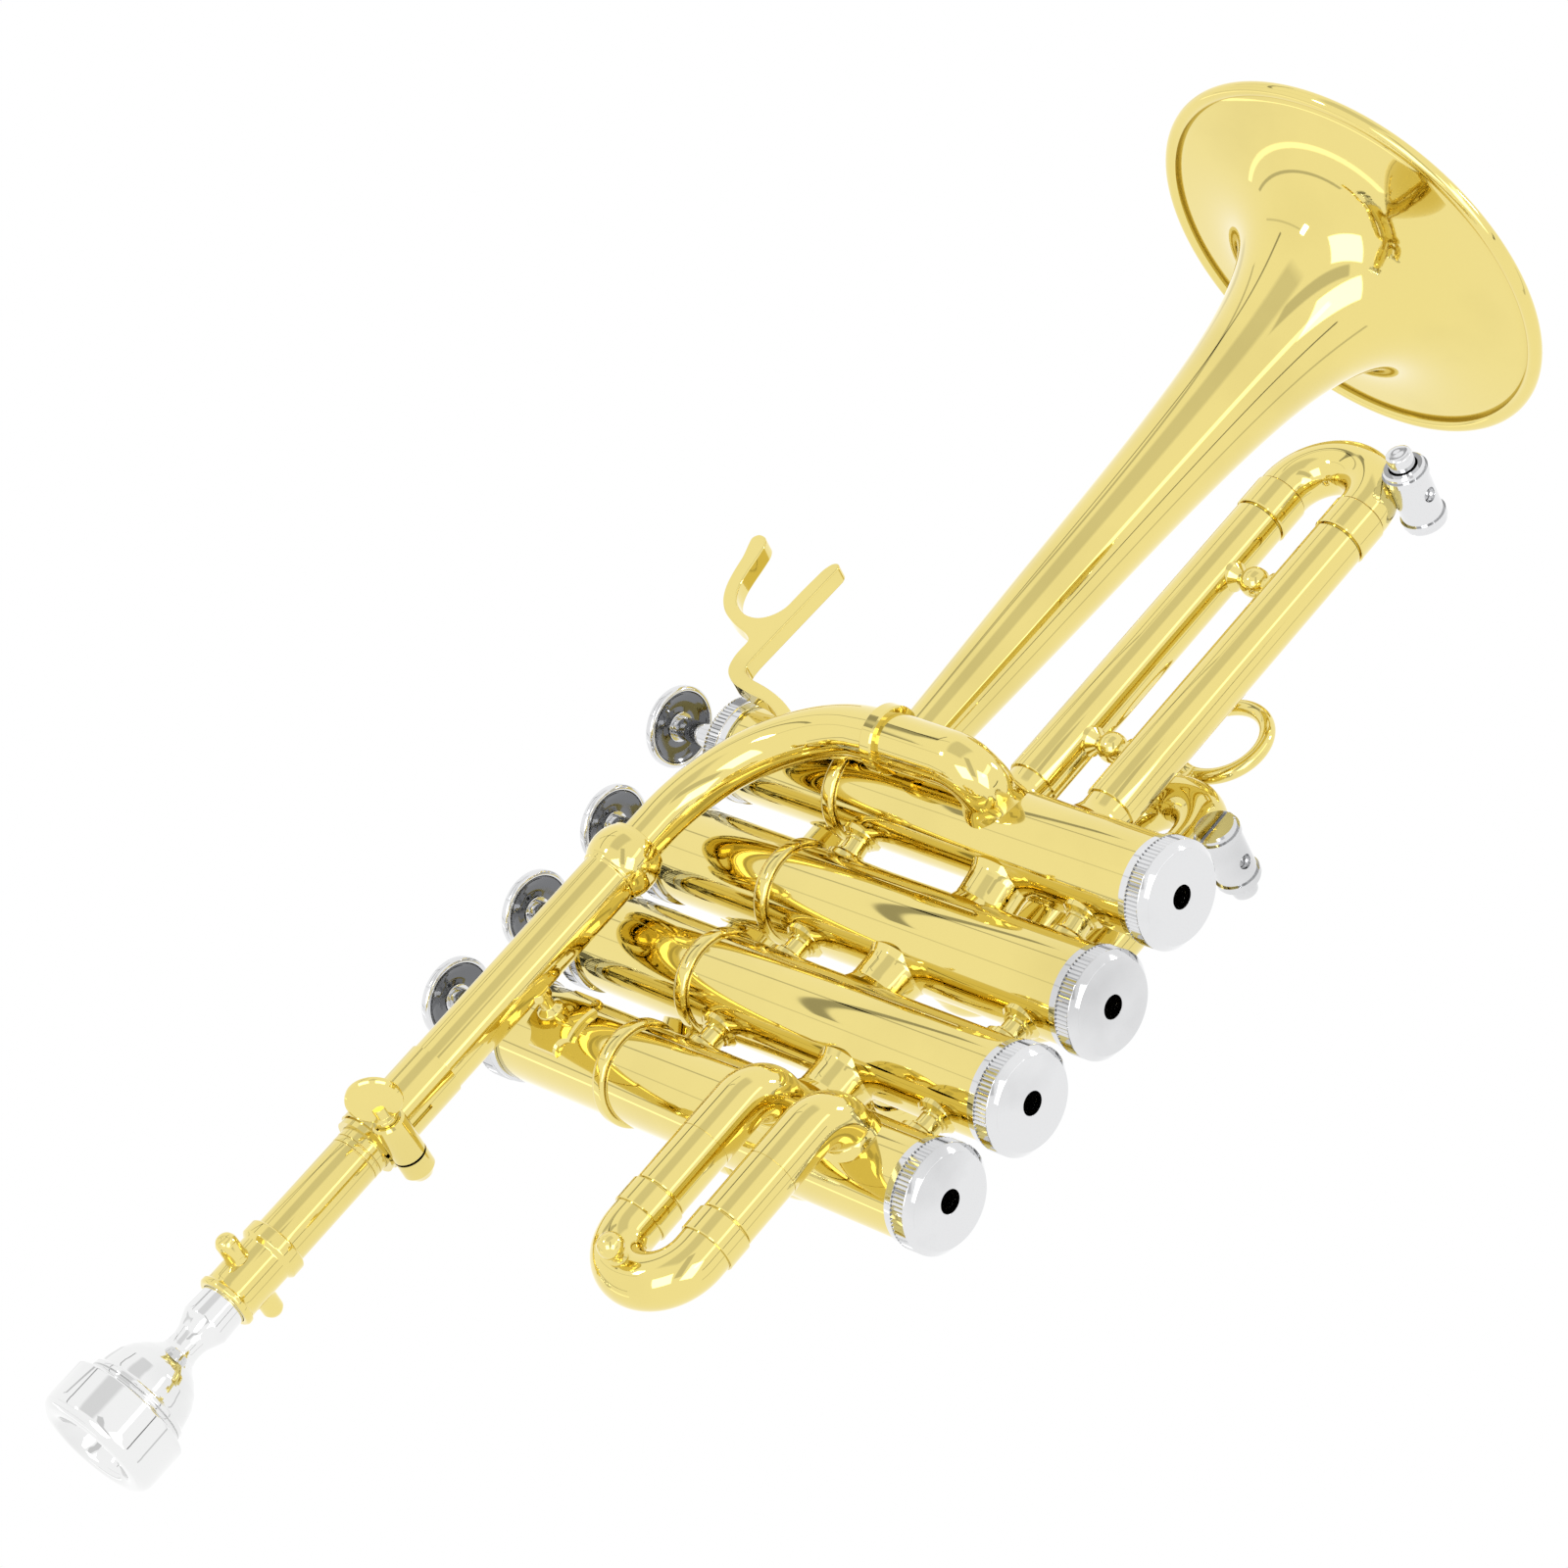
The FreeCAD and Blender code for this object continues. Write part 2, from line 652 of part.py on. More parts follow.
def top_cap(number, at):
    """A screw cap with a fluted grip, a domed crown and a hub round the stem."""
    body = new_body("top_cap_" + number, at)
    shell = polygon(body, "shell", "XZ", [
        ("cap_bore_radius", "casing_shoulder"),
        ("cap_lip_radius", "casing_shoulder"),
        ("cap_lip_radius", "casing_shoulder + top_cap_lip"),
        ("cap_radius", "casing_shoulder + top_cap_lip"),
        ("cap_radius", "casing_shoulder + top_cap_lip + cap_grip_height"),
        ("crown_radius", "crown_edge_height"),
        ("crown_inner_radius", "crown_height - button_bead"),
        ("hub_radius", "crown_height"),
        ("hub_radius", "hub_height - button_bead"),
        ("hub_radius - button_bead", "hub_height"),
        ("stem_hole_radius", "hub_height"),
        ("stem_hole_radius", "top_cap_ceiling"),
        ("cap_bore_radius", "top_cap_ceiling"),
    ])
    spin(body, shell)
    start = "casing_shoulder + top_cap_lip + flute_end_gap"
    flute_grip(body, start, "cap_grip_height - 2 * flute_end_gap")
    return body


def passages_of(number):
    """The three wind passages of a piston, each as the corners that it bends round."""
    out, lead = "passage_overrun", "passage_lead_in"
    high = " + stroke"
    east = lambda z: [(out, "0", z), (lead, "0", z)]
    west = lambda z: [("-" + out, "0", z), ("-" + lead, "0", z)]
    north = lambda z, x="0": [(x, out, z), (x, lead, z)]
    south = lambda z, x="0": [(x, "-" + out, z), (x, "-" + lead, z)]
    flip = lambda pair: [pair[1], pair[0]]
    mid = lambda low, top: f"({low} + {top}) / 2"
    if number == "1":
        return [
            east("knuckle_one_two") + flip(north("bell_port", "bell_side_shift")),
            east("knuckle_one_two" + high) + flip(south("first_loop_upper" + high)),
            south("first_loop_lower" + high)
            + [("-passage_detour", "0", mid("first_loop_lower + stroke", "bell_port + stroke")),
               ("-passage_sidestep", "passage_sidestep", "bell_port + stroke / 2")]
            + flip(north("bell_port" + high)),
        ]
    if number == "2":
        return [
            east("knuckle_two_three")
            + [("0", "-passage_detour", mid("knuckle_two_three", "knuckle_one_two"))]
            + flip(west("knuckle_one_two")),
            east("knuckle_two_three" + high) + flip(north("second_loop_upper" + high)),
            north("second_loop_lower" + high)
            + [("-passage_sidestep", "passage_sidestep",
                mid("second_loop_lower + stroke", "knuckle_one_two + stroke"))]
            + flip(west("knuckle_one_two" + high)),
        ]
    if number == "3":
        return [
            east("knuckle_three_four")
            + [("0", "-passage_detour", mid("knuckle_three_four", "knuckle_two_three"))]
            + flip(west("knuckle_two_three")),
            east("knuckle_three_four" + high) + flip(north("third_loop_lower" + high)),
            north("third_loop_upper" + high) + flip(west("knuckle_two_three" + high)),
        ]
    return [
        south("pipe_port", "pipe_side_shift") + flip(west("knuckle_three_four")),
        south("pipe_port" + high, "pipe_side_shift") + flip(east("fourth_loop_upper" + high)),
        east("fourth_loop_lower" + high)
        + [("0", "passage_lift", mid("fourth_loop_lower + stroke", "knuckle_three_four + stroke"))]
        + flip(west("knuckle_three_four" + high)),
    ]


def bends(spots):
    """Cut each corner between straight runs into two gentler ones."""
    runs, last = [spots[0]], len(spots) - 2
    for index in range(1, last + 1):
        inward, onward = spots[index] - spots[index - 1], spots[index + 1] - spots[index]
        free_in = inward.Length if index == 1 else inward.Length / 2
        free_on = onward.Length if index == last else onward.Length / 2
        reach = min(free_in, free_on) / 2
        runs.append(spots[index] - inward.normalize() * reach)
        runs.append(spots[index] + onward.normalize() * reach)
    return runs + [spots[-1]]


def passage(points):
    """A round channel of mitred runs past the given corners."""
    spots = [FreeCAD.Vector(*[value(t) for t in point]) for point in points]
    disc = Part.Circle(spots[0], spots[1] - spots[0], value("passage_radius")).toShape()
    return Part.makePolygon(bends(spots)).makePipeShell([Part.Wire([disc])], True, False, 1)


def piston(number, at):
    """A piston with three wind passages, and the slotted barrel for its spring."""
    body = new_body("piston_blank_" + number)
    wall = polygon(body, "wall", "XZ", [
        ("0", "piston_bottom + piston_rim"),
        ("piston_radius - piston_rim", "piston_bottom + piston_rim"),
        ("piston_radius - piston_rim", "piston_bottom"),
        ("piston_radius", "piston_bottom"),
        ("piston_radius", "barrel_top"),
        ("stem_tail_radius + tail_clearance", "barrel_top"),
        ("stem_tail_radius + tail_clearance", "barrel_top - barrel_plate"),
        ("barrel_bore_radius", "barrel_top - barrel_plate"),
        ("barrel_bore_radius", "barrel_floor"),
        ("0", "barrel_floor"),
    ])
    spin(body, wall)
    side = "guide_arm_width / 2 + guide_side_clearance"
    low = "ledge_height - slot_clearance"
    top = "ledge_height + guide_thickness + stroke + slot_clearance"
    slot = polygon(body, "slot", "XZ", [
        ("-(" + side + ")", low), (side, low), (side, top), ("-(" + side + ")", top)])
    pad(body, slot, "4 * piston_radius", middle=True, cut=True)
    channels = doc.addObject("Part::Feature", "passages_" + number)
    channels.Label = "passages_" + number
    channels.Shape = Part.makeCompound([passage(points) for points in passages_of(number)])
    cut = doc.addObject("Part::Cut", "piston_" + number)
    cut.Label = "piston_" + number
    cut.Base = body
    cut.Tool = channels
    put(cut, at)
    return cut


def guide(number, at):
    """The valve guide: a disc inside the spring barrel with two arms on the ledge."""
    body = new_body("guide_" + number, at)
    disc = circles(body, "disc", "XY", ring("0", "0", "guide_radius", "guide_hole_radius"),
                   ("0", "0", "ledge_height"))
    pad(body, disc, "guide_thickness")
    side = "guide_arm_width / 2"
    inner = "(guide_radius + guide_hole_radius) / 2"
    for name, sign in (("near_arm", "-"), ("far_arm", "")):
        arm = polygon(body, name, "XY", [
            ("-" + side, sign + inner), (side, sign + inner),
            (side, sign + "guide_reach"), ("-" + side, sign + "guide_reach"),
        ], ("0", "0", "ledge_height"))
        pad(body, arm, "guide_thickness")
    return body


def stem(number, at):
    """The stem that screws into the piston below and the button above."""
    body = new_body("valve_stem_" + number, at)
    rod = polygon(body, "rod", "XZ", [
        ("0", "barrel_top - barrel_plate"),
        ("stem_tail_radius", "barrel_top - barrel_plate"),
        ("stem_tail_radius", "barrel_top"),
        ("stem_radius", "barrel_top"),
        ("stem_radius", "button_boss_bottom"),
        ("stem_tail_radius", "button_boss_bottom"),
        ("stem_tail_radius", "button_socket_top - tail_clearance"),
        ("0", "button_socket_top - tail_clearance"),
    ])
    spin(body, rod)
    return body


def button(number, at):
    """A finger button with a recessed underside, a rim bead and a boss."""
    body = new_body("finger_button_" + number, at)
    disc = polygon(body, "disc", "XZ", [
        ("0", "button_socket_top"),
        ("stem_tail_radius + tail_clearance", "button_socket_top"),
        ("stem_tail_radius + tail_clearance", "button_boss_bottom"),
        ("button_boss_radius", "button_boss_bottom"),
        ("button_boss_radius", "button_ceiling"),
        ("button_recess_radius", "button_ceiling"),
        ("button_recess_radius + button_bead / 2", "button_bottom"),
        ("button_radius - button_bead", "button_bottom"),
        ("button_radius", "button_bottom + button_bead"),
        ("button_radius", "button_top - button_edge"),
        ("button_radius - button_edge", "button_top"),
        ("0", "button_top"),
    ])
    spin(body, disc)
    return body


def spring(number, at):
    """The valve spring, as the sleeve that its windings fill."""
    body = new_body("valve_spring_" + number, at)
    coil = circles(body, "coil", "XY",
                   ring("0", "0", "spring_outer_radius", "spring_inner_radius"),
                   ("0", "0", "ledge_height + guide_thickness + spring_seat_gap"))
    pad(body, coil, "barrel_top - barrel_plate - ledge_height - guide_thickness - 2 * spring_seat_gap")
    return body


def felt(label, at, outer, inner, start, height):
    """A felt washer."""
    body = new_body(label, at)
    pad(body, circles(body, "washer", "XY", ring("0", "0", outer, inner), ("0", "0", start)), height)
    return body


def knuckle(label, at, height, turn_text=None):
    """A short wind tube between two casings, fitted to both."""
    body = new_body(label, (at[0], at[1], height), turn_text=turn_text)
    tube = circles(body, "tube", "YZ", ring("0", "0", "knuckle_radius", "knuckle_bore_radius"))
    pad(body, tube, "valve_pitch", middle=True)
    cope_pair(body, "4 * knuckle_radius")
    return body


def cope_pair(body, depth):
    """Fit the ends of a piece to the casings on both sides of it."""
    rounds = [("-valve_pitch / 2", "0", "casing_radius + joint_seam"),
              ("valve_pitch / 2", "0", "casing_radius + joint_seam")]
    pad(body, circles(body, "cope", "XY", rounds), depth, middle=True, cut=True)


def spool(label, at, height, turn_text=None):
    """A turned spacer soldered between two casings."""
    body = new_body(label, (at[0], at[1], height), turn_text=turn_text)
    half = "(valve_pitch / 2 - casing_radius)"
    outline = [
        ("-valve_pitch / 2", "0"),
        ("-valve_pitch / 2", "spool_end_radius"),
        ("-" + half, "spool_end_radius"),
        ("-spool_waist_half - spool_ridge_width", "spool_ridge_radius"),
        ("-spool_waist_half", "spool_ridge_radius"),
        ("-spool_waist_half", "spool_waist_radius"),
        ("spool_waist_half", "spool_waist_radius"),
        ("spool_waist_half", "spool_ridge_radius"),
        ("spool_waist_half + spool_ridge_width", "spool_ridge_radius"),
        (half, "spool_end_radius"),
        ("valve_pitch / 2", "spool_end_radius"),
        ("valve_pitch / 2", "0"),
    ]
    spin(body, polygon(body, "profile", "XZ", outline), "H_Axis")
    cope_pair(body, "4 * spool_end_radius")
    return body


GAPS = [
    (("valve_pitch / 2", "0"), None, "knuckle_one_two", "upper_spool_one", "lower_spool_one"),
    (("3 * valve_pitch / 2", "0"), None, "knuckle_two_three", "upper_spool_two", "lower_spool_two"),
    (("2 * valve_pitch + fourth_step / 2", "-fourth_valve_shift / 2"),
     "-fourth_tilt", "knuckle_three_four", "upper_spool_three", "lower_spool_three"),
]


def coped_leg(label, at, turn, bend, stub, leg):
    """A fixed slide tube: out of a casing, round an elbow and along to its open end."""
    body = new_body(label, at, turn)
    section = ring(bend, "0", "tube_radius", "tube_bore_radius")
    spin(body, circles(body, "elbow", "XZ", section), angle=90.0, back=True)
    pad(body, circles(body, "stub", "XZ", section), stub, back=True)
    end = ring("-(" + bend + ")", "0", "tube_radius", "tube_bore_radius")
    pad(body, circles(body, "leg", "YZ", end), leg, back=True)
    casing_cut = circles(body, "cope", "XY", [(bend, stub, "casing_radius + joint_seam")])
    pad(body, casing_cut, "4 * tube_radius", middle=True, cut=True)
    return body


def straight_leg(label, at, turn, start, end, outer, stub_outer, stub_end):
    """A fixed slide tube straight out of a casing, with a joint after a short stub."""
    body = new_body(label, at, turn)
    stub = circles(body, "stub", "YZ", ring("0", "0", stub_outer, "tube_bore_radius"))
    pad(body, stub, stub_end)
    if end != stub_end:
        tube = circles(body, "tube", "YZ", ring("0", "0", outer, "tube_bore_radius"),
                       ("0", "0", stub_end))
        pad(body, tube, end + " - (" + stub_end + ")")
    cut = circles(body, "cope", "XY", [("0", "0", start)])
    pad(body, cut, "4 * tube_radius", middle=True, cut=True)
    return body


def slide_bow(label, at, turn, bend, outer, ferrule, insert):
    """A sliding bow: a half ring of tube, two ferrules and two inner legs."""
    body = new_body(label, at, turn)
    section = ring("0", bend, outer, "leg_bore_radius")
    spin(body, circles(body, "bow", "YZ", section), "H_Axis", 180.0, back=True)
    low = "-(" + bend + ")"
    sleeves = ring("0", bend, "ferrule_radius", "leg_bore_radius")
    sleeves += ring("0", low, "ferrule_radius", "leg_bore_radius")
    pad(body, circles(body, "ferrules", "YZ", sleeves), ferrule)
    legs = ring("0", bend, "leg_radius", "leg_bore_radius")
    legs += ring("0", low, "leg_radius", "leg_bore_radius")
    pad(body, circles(body, "legs", "YZ", legs), ferrule + " + " + insert)
    return body


def slides():
    """The four valve slides, each as its fixed tubes and its sliding bow."""
    y = "-first_slide_offset"
    centre = "first_slide_offset - first_slide_bend"
    legs = [coped_leg("first_leg_" + level,
                      ("-first_slide_bend", "-(" + centre + ")", "first_loop_" + level), 0,
                      "first_slide_bend", centre, "first_slide_leg_end - first_slide_bend")
            for level in ("upper", "lower")]
    group("first_slide_tubes", legs)
    bow = slide_bow("first_slide", ("-first_bow_centre", y, "(first_loop_upper + first_loop_lower) / 2"),
                    0, "(first_loop_upper - first_loop_lower) / 2", "tube_radius",
                    "first_bow_centre - first_slide_leg_end - slide_gap", "first_slide_insert")
    reach = "(first_loop_upper - first_loop_lower) / 2"
    neck = polygon(bow, "neck", "XY", [
        ("0", "-(tube_radius - crook_wall)"), ("knob_neck_radius", "-(tube_radius - crook_wall)"),
        ("knob_neck_radius", "-(tube_radius + knob_reach - knob_radius)"),
        ("0", "-(tube_radius + knob_reach - knob_radius)"),
    ], ("-(" + reach + ")", "0", "knob_lift"))
    spin(bow, neck)
    ball = half_disc(bow, "ball", "XY", "knob_radius",
                     ("-(" + reach + ")", "-(tube_radius + knob_reach - knob_radius)", "knob_lift"))
    spin(bow, ball)

    stubs = [straight_leg("second_leg_" + level, ("valve_pitch", "0", "second_loop_" + level), 90,
                          "casing_radius + joint_seam", "second_stub_end", "tube_radius",
                          "tube_radius", "second_stub_end") for level in ("upper", "lower")]
    group("second_slide_tubes", stubs)
    slide_bow("second_slide",
              ("valve_pitch", "second_bow_centre", "(second_loop_upper + second_loop_lower) / 2"),
              -90, "(second_loop_upper - second_loop_lower) / 2", "tube_radius",
              "second_bow_centre - second_stub_end - slide_gap", "second_slide_insert")

    centre = "third_slide_offset - third_slide_bend"
    legs = [coped_leg("third_leg_" + level,
                      ("2 * valve_pitch + third_slide_bend", centre, "third_loop_" + level), 180,
                      "third_slide_bend", centre,
                      "third_slide_leg_end - 2 * valve_pitch - third_slide_bend")
            for level in ("upper", "lower")]
    group("third_slide_tubes", legs)
    slide_bow("third_slide",
              ("third_bow_centre", "third_slide_offset", "(third_loop_upper + third_loop_lower) / 2"),
              180, "(third_loop_upper - third_loop_lower) / 2", "tube_radius",
              "third_bow_centre - third_slide_leg_end - slide_gap", "third_slide_insert")

    tubes = [straight_leg("fourth_leg_" + level,
                          ("fourth_x", "-fourth_valve_shift", "fourth_loop_" + level), 0,
                          "casing_radius + joint_seam", "fourth_tube_end - fourth_x",
                          "fourth_tube_radius", "fourth_stub_radius",
                          "fourth_stub_end - fourth_x") for level in ("upper", "lower")]
    group("fourth_slide_tubes", tubes)
    slide_bow("fourth_slide",
              ("fourth_bow_centre", "-fourth_valve_shift", "(fourth_loop_upper + fourth_loop_lower) / 2"),
              180, "(fourth_loop_upper - fourth_loop_lower) / 2", "fourth_tube_radius",
              "fourth_bow_centre - fourth_tube_end - slide_gap", "fourth_slide_insert")


def finger_ring():
    """The finger ring on the third valve slide, with the post that carries it."""
    body = new_body("finger_ring", ("finger_ring_x", "third_slide_offset", "finger_ring_z"))
    wire = circles(body, "wire", "XY", [("finger_ring_radius", "0", "finger_ring_wire")])
    spin(body, wire)
    crown = "(third_bow_centre + (third_loop_upper - third_loop_lower) / 2)"
    foot = circles(body, "foot", "YZ", [("0", "0", "finger_ring_wire")],
                   ("0", "0", crown + " - finger_ring_x"))
    pad(body, foot, "finger_ring_x - finger_ring_radius - " + crown)
    cope_bow(body, "third", "third_bow_centre - finger_ring_x",
             "(third_loop_upper + third_loop_lower) / 2 - finger_ring_z", "tube_radius")
    return body


def cope_bow(body, name, dx, dz, outer):
    """Cut the ring of a slide's bow out of a piece that sits on it."""
    bend = "(" + name + "_loop_upper - " + name + "_loop_lower) / 2"
    cut = circles(body, "bow_cut", "YZ", [("0", bend, outer + " + joint_seam")], ("0", dz, dx))
    spin(body, cut, "H_Axis", cut=True)


def slide_braces():
    """Two ball braces between the tubes of the fourth slide."""
    made = []
    middle = "(fourth_loop_upper + fourth_loop_lower) / 2"
    half = "(fourth_loop_upper - fourth_loop_lower) / 2"
    foot = "(" + half + " - fourth_tube_radius)"
    for name, x in (("near", "brace_near_x"), ("far", "brace_far_x")):
        body = new_body("slide_brace_" + name, (x, "-fourth_valve_shift", middle))
        post = polygon(body, "post", "XZ", [
            ("0", "-" + half), ("brace_foot_radius", "-" + half),
            ("brace_foot_radius", "-" + foot),
            ("brace_post_radius", "-" + foot + " + brace_foot_height"),
            ("brace_post_radius", foot + " - brace_foot_height"),
            ("brace_foot_radius", foot),
            ("brace_foot_radius", half), ("0", half),
        ])
        spin(body, post)
        spin(body, half_disc(body, "ball", "XZ", "brace_ball_radius"))
        rounds = [("0", half, "fourth_tube_radius + joint_seam"),
                  ("0", "-" + half, "fourth_tube_radius + joint_seam")]
        pad(body, circles(body, "cope", "YZ", rounds), "4 * brace_foot_radius", middle=True, cut=True)
        made.append(body)
    group("fourth_slide_braces", made)


def water_key(number, at, turn, name, dx, dz, outer, toward_crown):
    """A side water key: a barrel with a spring plunger, on a nozzle under a bow."""
    body = new_body("water_key_" + number, at, turn)
    ridge = "key_radius + key_ring_height"
    barrel = polygon(body, "barrel", "XY", [
        ("key_bore_radius", "-key_front"),
        ("key_radius - key_ring_height", "-key_front"),
        ("key_radius", "-key_front + key_ring_height"),
        ("key_radius", "-key_front + key_ring_width"),
        (ridge, "-key_front + key_ring_width"),
        (ridge, "-key_front + 2 * key_ring_width"),
        ("key_radius", "-key_front + 2 * key_ring_width"),
        ("key_radius", "key_back - key_cap_thickness - key_ring_width"),
        (ridge, "key_back - key_cap_thickness - key_ring_width"),
        (ridge, "key_back - key_cap_thickness"),
        ("key_radius", "key_back - key_cap_thickness"),
        ("key_radius", "key_back - key_ring_height"),
        ("key_radius - key_ring_height", "key_back"),
        ("0", "key_back"),
        ("0", "key_back - key_cap_thickness"),
        ("key_bore_radius", "key_back - key_cap_thickness"),
    ])
    spin(body, barrel)
    nozzle = circles(body, "nozzle", "XY", [("0", "0", "key_nozzle_radius")],
                     ("0", "0", "key_bore_radius + key_ring_height"))
    pad(body, nozzle, "key_nozzle_length - key_bore_radius")
    cope_bow(body, name, dx, dz, outer)
    low = f"{dz} - ({name}_loop_upper - {name}_loop_lower) / 2"
    sleeve_cut = circles(body, "sleeve_cut", "YZ", [("0", low, "ferrule_radius + joint_seam")],
                         ("0", "0", dx))
    pad(body, sleeve_cut, "4 * key_radius", back=toward_crown, cut=True)
    drain = circles(body, "drain", "XY", [("0", "0", "key_drain_radius")])
    pad(body, drain, "3 * key_radius", middle=True, cut=True)
    slot = polygon(body, "slot", "XZ", [
        ("-key_radius", "-key_slot_width / 2"), ("key_radius", "-key_slot_width / 2"),
        ("key_radius", "key_slot_width / 2"), ("-key_radius", "key_slot_width / 2"),
    ], ("0", "0", "-key_back"))
    pad(body, slot, "key_slot_depth", back=False, cut=True).Reversed = True
    plunger = new_body("water_key_plunger_" + number, at, turn)
    rod = polygon(plunger, "rod", "XY", [
        ("0", "-key_button_tip"),
        ("key_button_radius - key_ring_height", "-key_button_tip"),
        ("key_button_radius", "-key_button_tip + key_ring_height"),
        ("key_button_radius", "-key_button_base"),
        ("key_rod_radius", "-key_button_base"),
        ("key_rod_radius", "-key_seal_half"),
        ("key_seal_radius", "-key_seal_half"),
        ("key_seal_radius", "key_seal_half"),
        ("key_rod_radius", "key_seal_half"),
        ("key_rod_radius", "key_rod_end"),
        ("0", "key_rod_end"),
    ])
    spin(plunger, rod)


def mouthpiece():
    """The mouthpiece: rim, cup, throat and backbore, with a tapered shank."""
    body = new_body("mouthpiece", ("0", "-pipe_offset", "pipe_height"))
    profile = [
        ("mouthpiece_end", "mouthpiece_inner_rim_radius + mouthpiece_rim_round"),
        ("mouthpiece_end", "mouthpiece_rim_flat_radius"),
        ("mouthpiece_end - mouthpiece_rim_round / 2", "mouthpiece_radius - mouthpiece_rim_round / 3"),
        ("mouthpiece_end - mouthpiece_rim_round", "mouthpiece_radius"),
        ("mouthpiece_rim_back + mouthpiece_step_width", "mouthpiece_radius"),
        ("mouthpiece_rim_back + mouthpiece_step_width", "mouthpiece_step_radius"),
        ("mouthpiece_rim_back", "mouthpiece_step_radius"),
        ("mouthpiece_bowl_x + mouthpiece_step_width", "mouthpiece_bowl_radius"),
        ("mouthpiece_bowl_x - mouthpiece_step_width", "mouthpiece_bowl_radius - mouthpiece_step_width"),
        ("mouthpiece_bowl_back", "mouthpiece_bowl_back_radius"),
        ("(mouthpiece_bowl_back + mouthpiece_neck_x) / 2",
         "(mouthpiece_bowl_back_radius + 2 * mouthpiece_neck_radius) / 3"),
        ("mouthpiece_neck_x", "mouthpiece_neck_radius"),
        ("(mouthpiece_neck_x + mouthpiece_flare_x) / 2",
         "(mouthpiece_neck_radius + mouthpiece_flare_radius) / 2"),
        ("mouthpiece_flare_x", "mouthpiece_flare_radius"),
        ("receiver_end", "receiver_bore_radius - receiver_taper_clearance"),
        ("mouthpiece_shank_end", "mouthpiece_shank_end_radius"),
        ("mouthpiece_shank_end", "backbore_radius"),
        ("throat_end_x", "throat_radius"),
        ("throat_x", "throat_radius"),
        ("cup_floor_x", "cup_floor_radius"),
        ("cup_middle_x", "cup_middle_radius"),
        ("mouthpiece_end - mouthpiece_rim_round", "cup_mouth_radius"),
        ("mouthpiece_end - mouthpiece_rim_round / 3", "mouthpiece_inner_rim_radius"),
    ]
    points = [("-(" + x + ")", r) for x, r in profile]
    spin(body, polygon(body, "profile", "XZ", points), "H_Axis")
    return body


def receiver():
    """The mouthpiece receiver with its mouth ring, back ring and two side pegs."""
    body = new_body("mouthpiece_receiver", ("0", "-pipe_offset", "pipe_height"))
    profile = [
        ("receiver_end", "receiver_bore_radius"),
        ("receiver_end", "receiver_lip_radius"),
        ("receiver_end - receiver_lip_width", "receiver_lip_radius"),
        ("receiver_end - receiver_lip_width", "receiver_radius"),
        ("receiver_seat", "receiver_radius"),
        ("receiver_seat", "receiver_ring_radius"),
        ("receiver_back", "receiver_ring_radius"),
        ("receiver_back", "shank_radius + joint_seam"),
        ("receiver_seat", "shank_radius + joint_seam"),
        ("receiver_seat", "receiver_seat_radius"),
    ]
    points = [("-(" + x + ")", r) for x, r in profile]
    spin(body, polygon(body, "profile", "XZ", points), "H_Axis")
    root = "(receiver_bore_radius + receiver_radius) / 2"
    for name, sign in (("near_peg", "-"), ("far_peg", "")):
        peg = polygon(body, name, "XY", [
            ("0", sign + "(" + root + ")"), ("peg_radius", sign + "(" + root + ")"),
            ("peg_radius", sign + "(peg_reach - peg_edge)"),
            ("peg_radius - peg_edge", sign + "peg_reach"), ("0", sign + "peg_reach"),
        ], ("-peg_x", "0", "0"))
        spin(body, peg)
    return body


def shank():
    """The pull tube of the mouthpipe, which slides in the clamped sleeve."""
    body = new_body("mouthpipe_shank", ("0", "-pipe_offset", "pipe_height"))
    start = "receiver_seat - joint_seam"
    groove = "shank_radius - shank_groove_depth"
    second = "shank_groove_x - shank_groove_pitch"
    profile = [(start, "receiver_seat_radius"), (start, "shank_radius")]
    for place in ("shank_groove_x", second):
        profile += [(place, "shank_radius"), (place, groove),
                    (place + " - shank_groove_width", groove),
                    (place + " - shank_groove_width", "shank_radius")]
    profile += [("shank_end", "shank_radius"), ("shank_end", "receiver_seat_radius")]
    points = [("-(" + x + ")", r) for x, r in profile]
    spin(body, polygon(body, "profile", "XZ", points), "H_Axis")
    return body


def sleeve():
    """The slotted sleeve that the clamp squeezes on the pull tube."""
    body = new_body("mouthpipe_sleeve", ("0", "-pipe_offset", "pipe_height"))
    profile = [
        ("sleeve_start", "sleeve_bore_radius"), ("sleeve_start", "sleeve_ring_radius"),
        ("sleeve_start - sleeve_ring_width", "sleeve_ring_radius"),
        ("sleeve_start - sleeve_ring_width", "sleeve_radius"),
        ("sleeve_end + joint_seam", "sleeve_radius"),
        ("sleeve_end + joint_seam", "sleeve_bore_radius"),
    ]
    points = [("-(" + x + ")", r) for x, r in profile]
    spin(body, polygon(body, "profile", "XZ", points), "H_Axis")
    end = "-(sleeve_start - sleeve_slot_length)"
    slot = polygon(body, "slot", "XY", [
        ("-(sleeve_start + slide_gap)", "-sleeve_slot_width / 2"), (end, "-sleeve_slot_width / 2"),
        (end, "sleeve_slot_width / 2"), ("-(sleeve_start + slide_gap)", "sleeve_slot_width / 2"),
    ])
    pad(body, slot, "2 * sleeve_radius", cut=True)
    return body


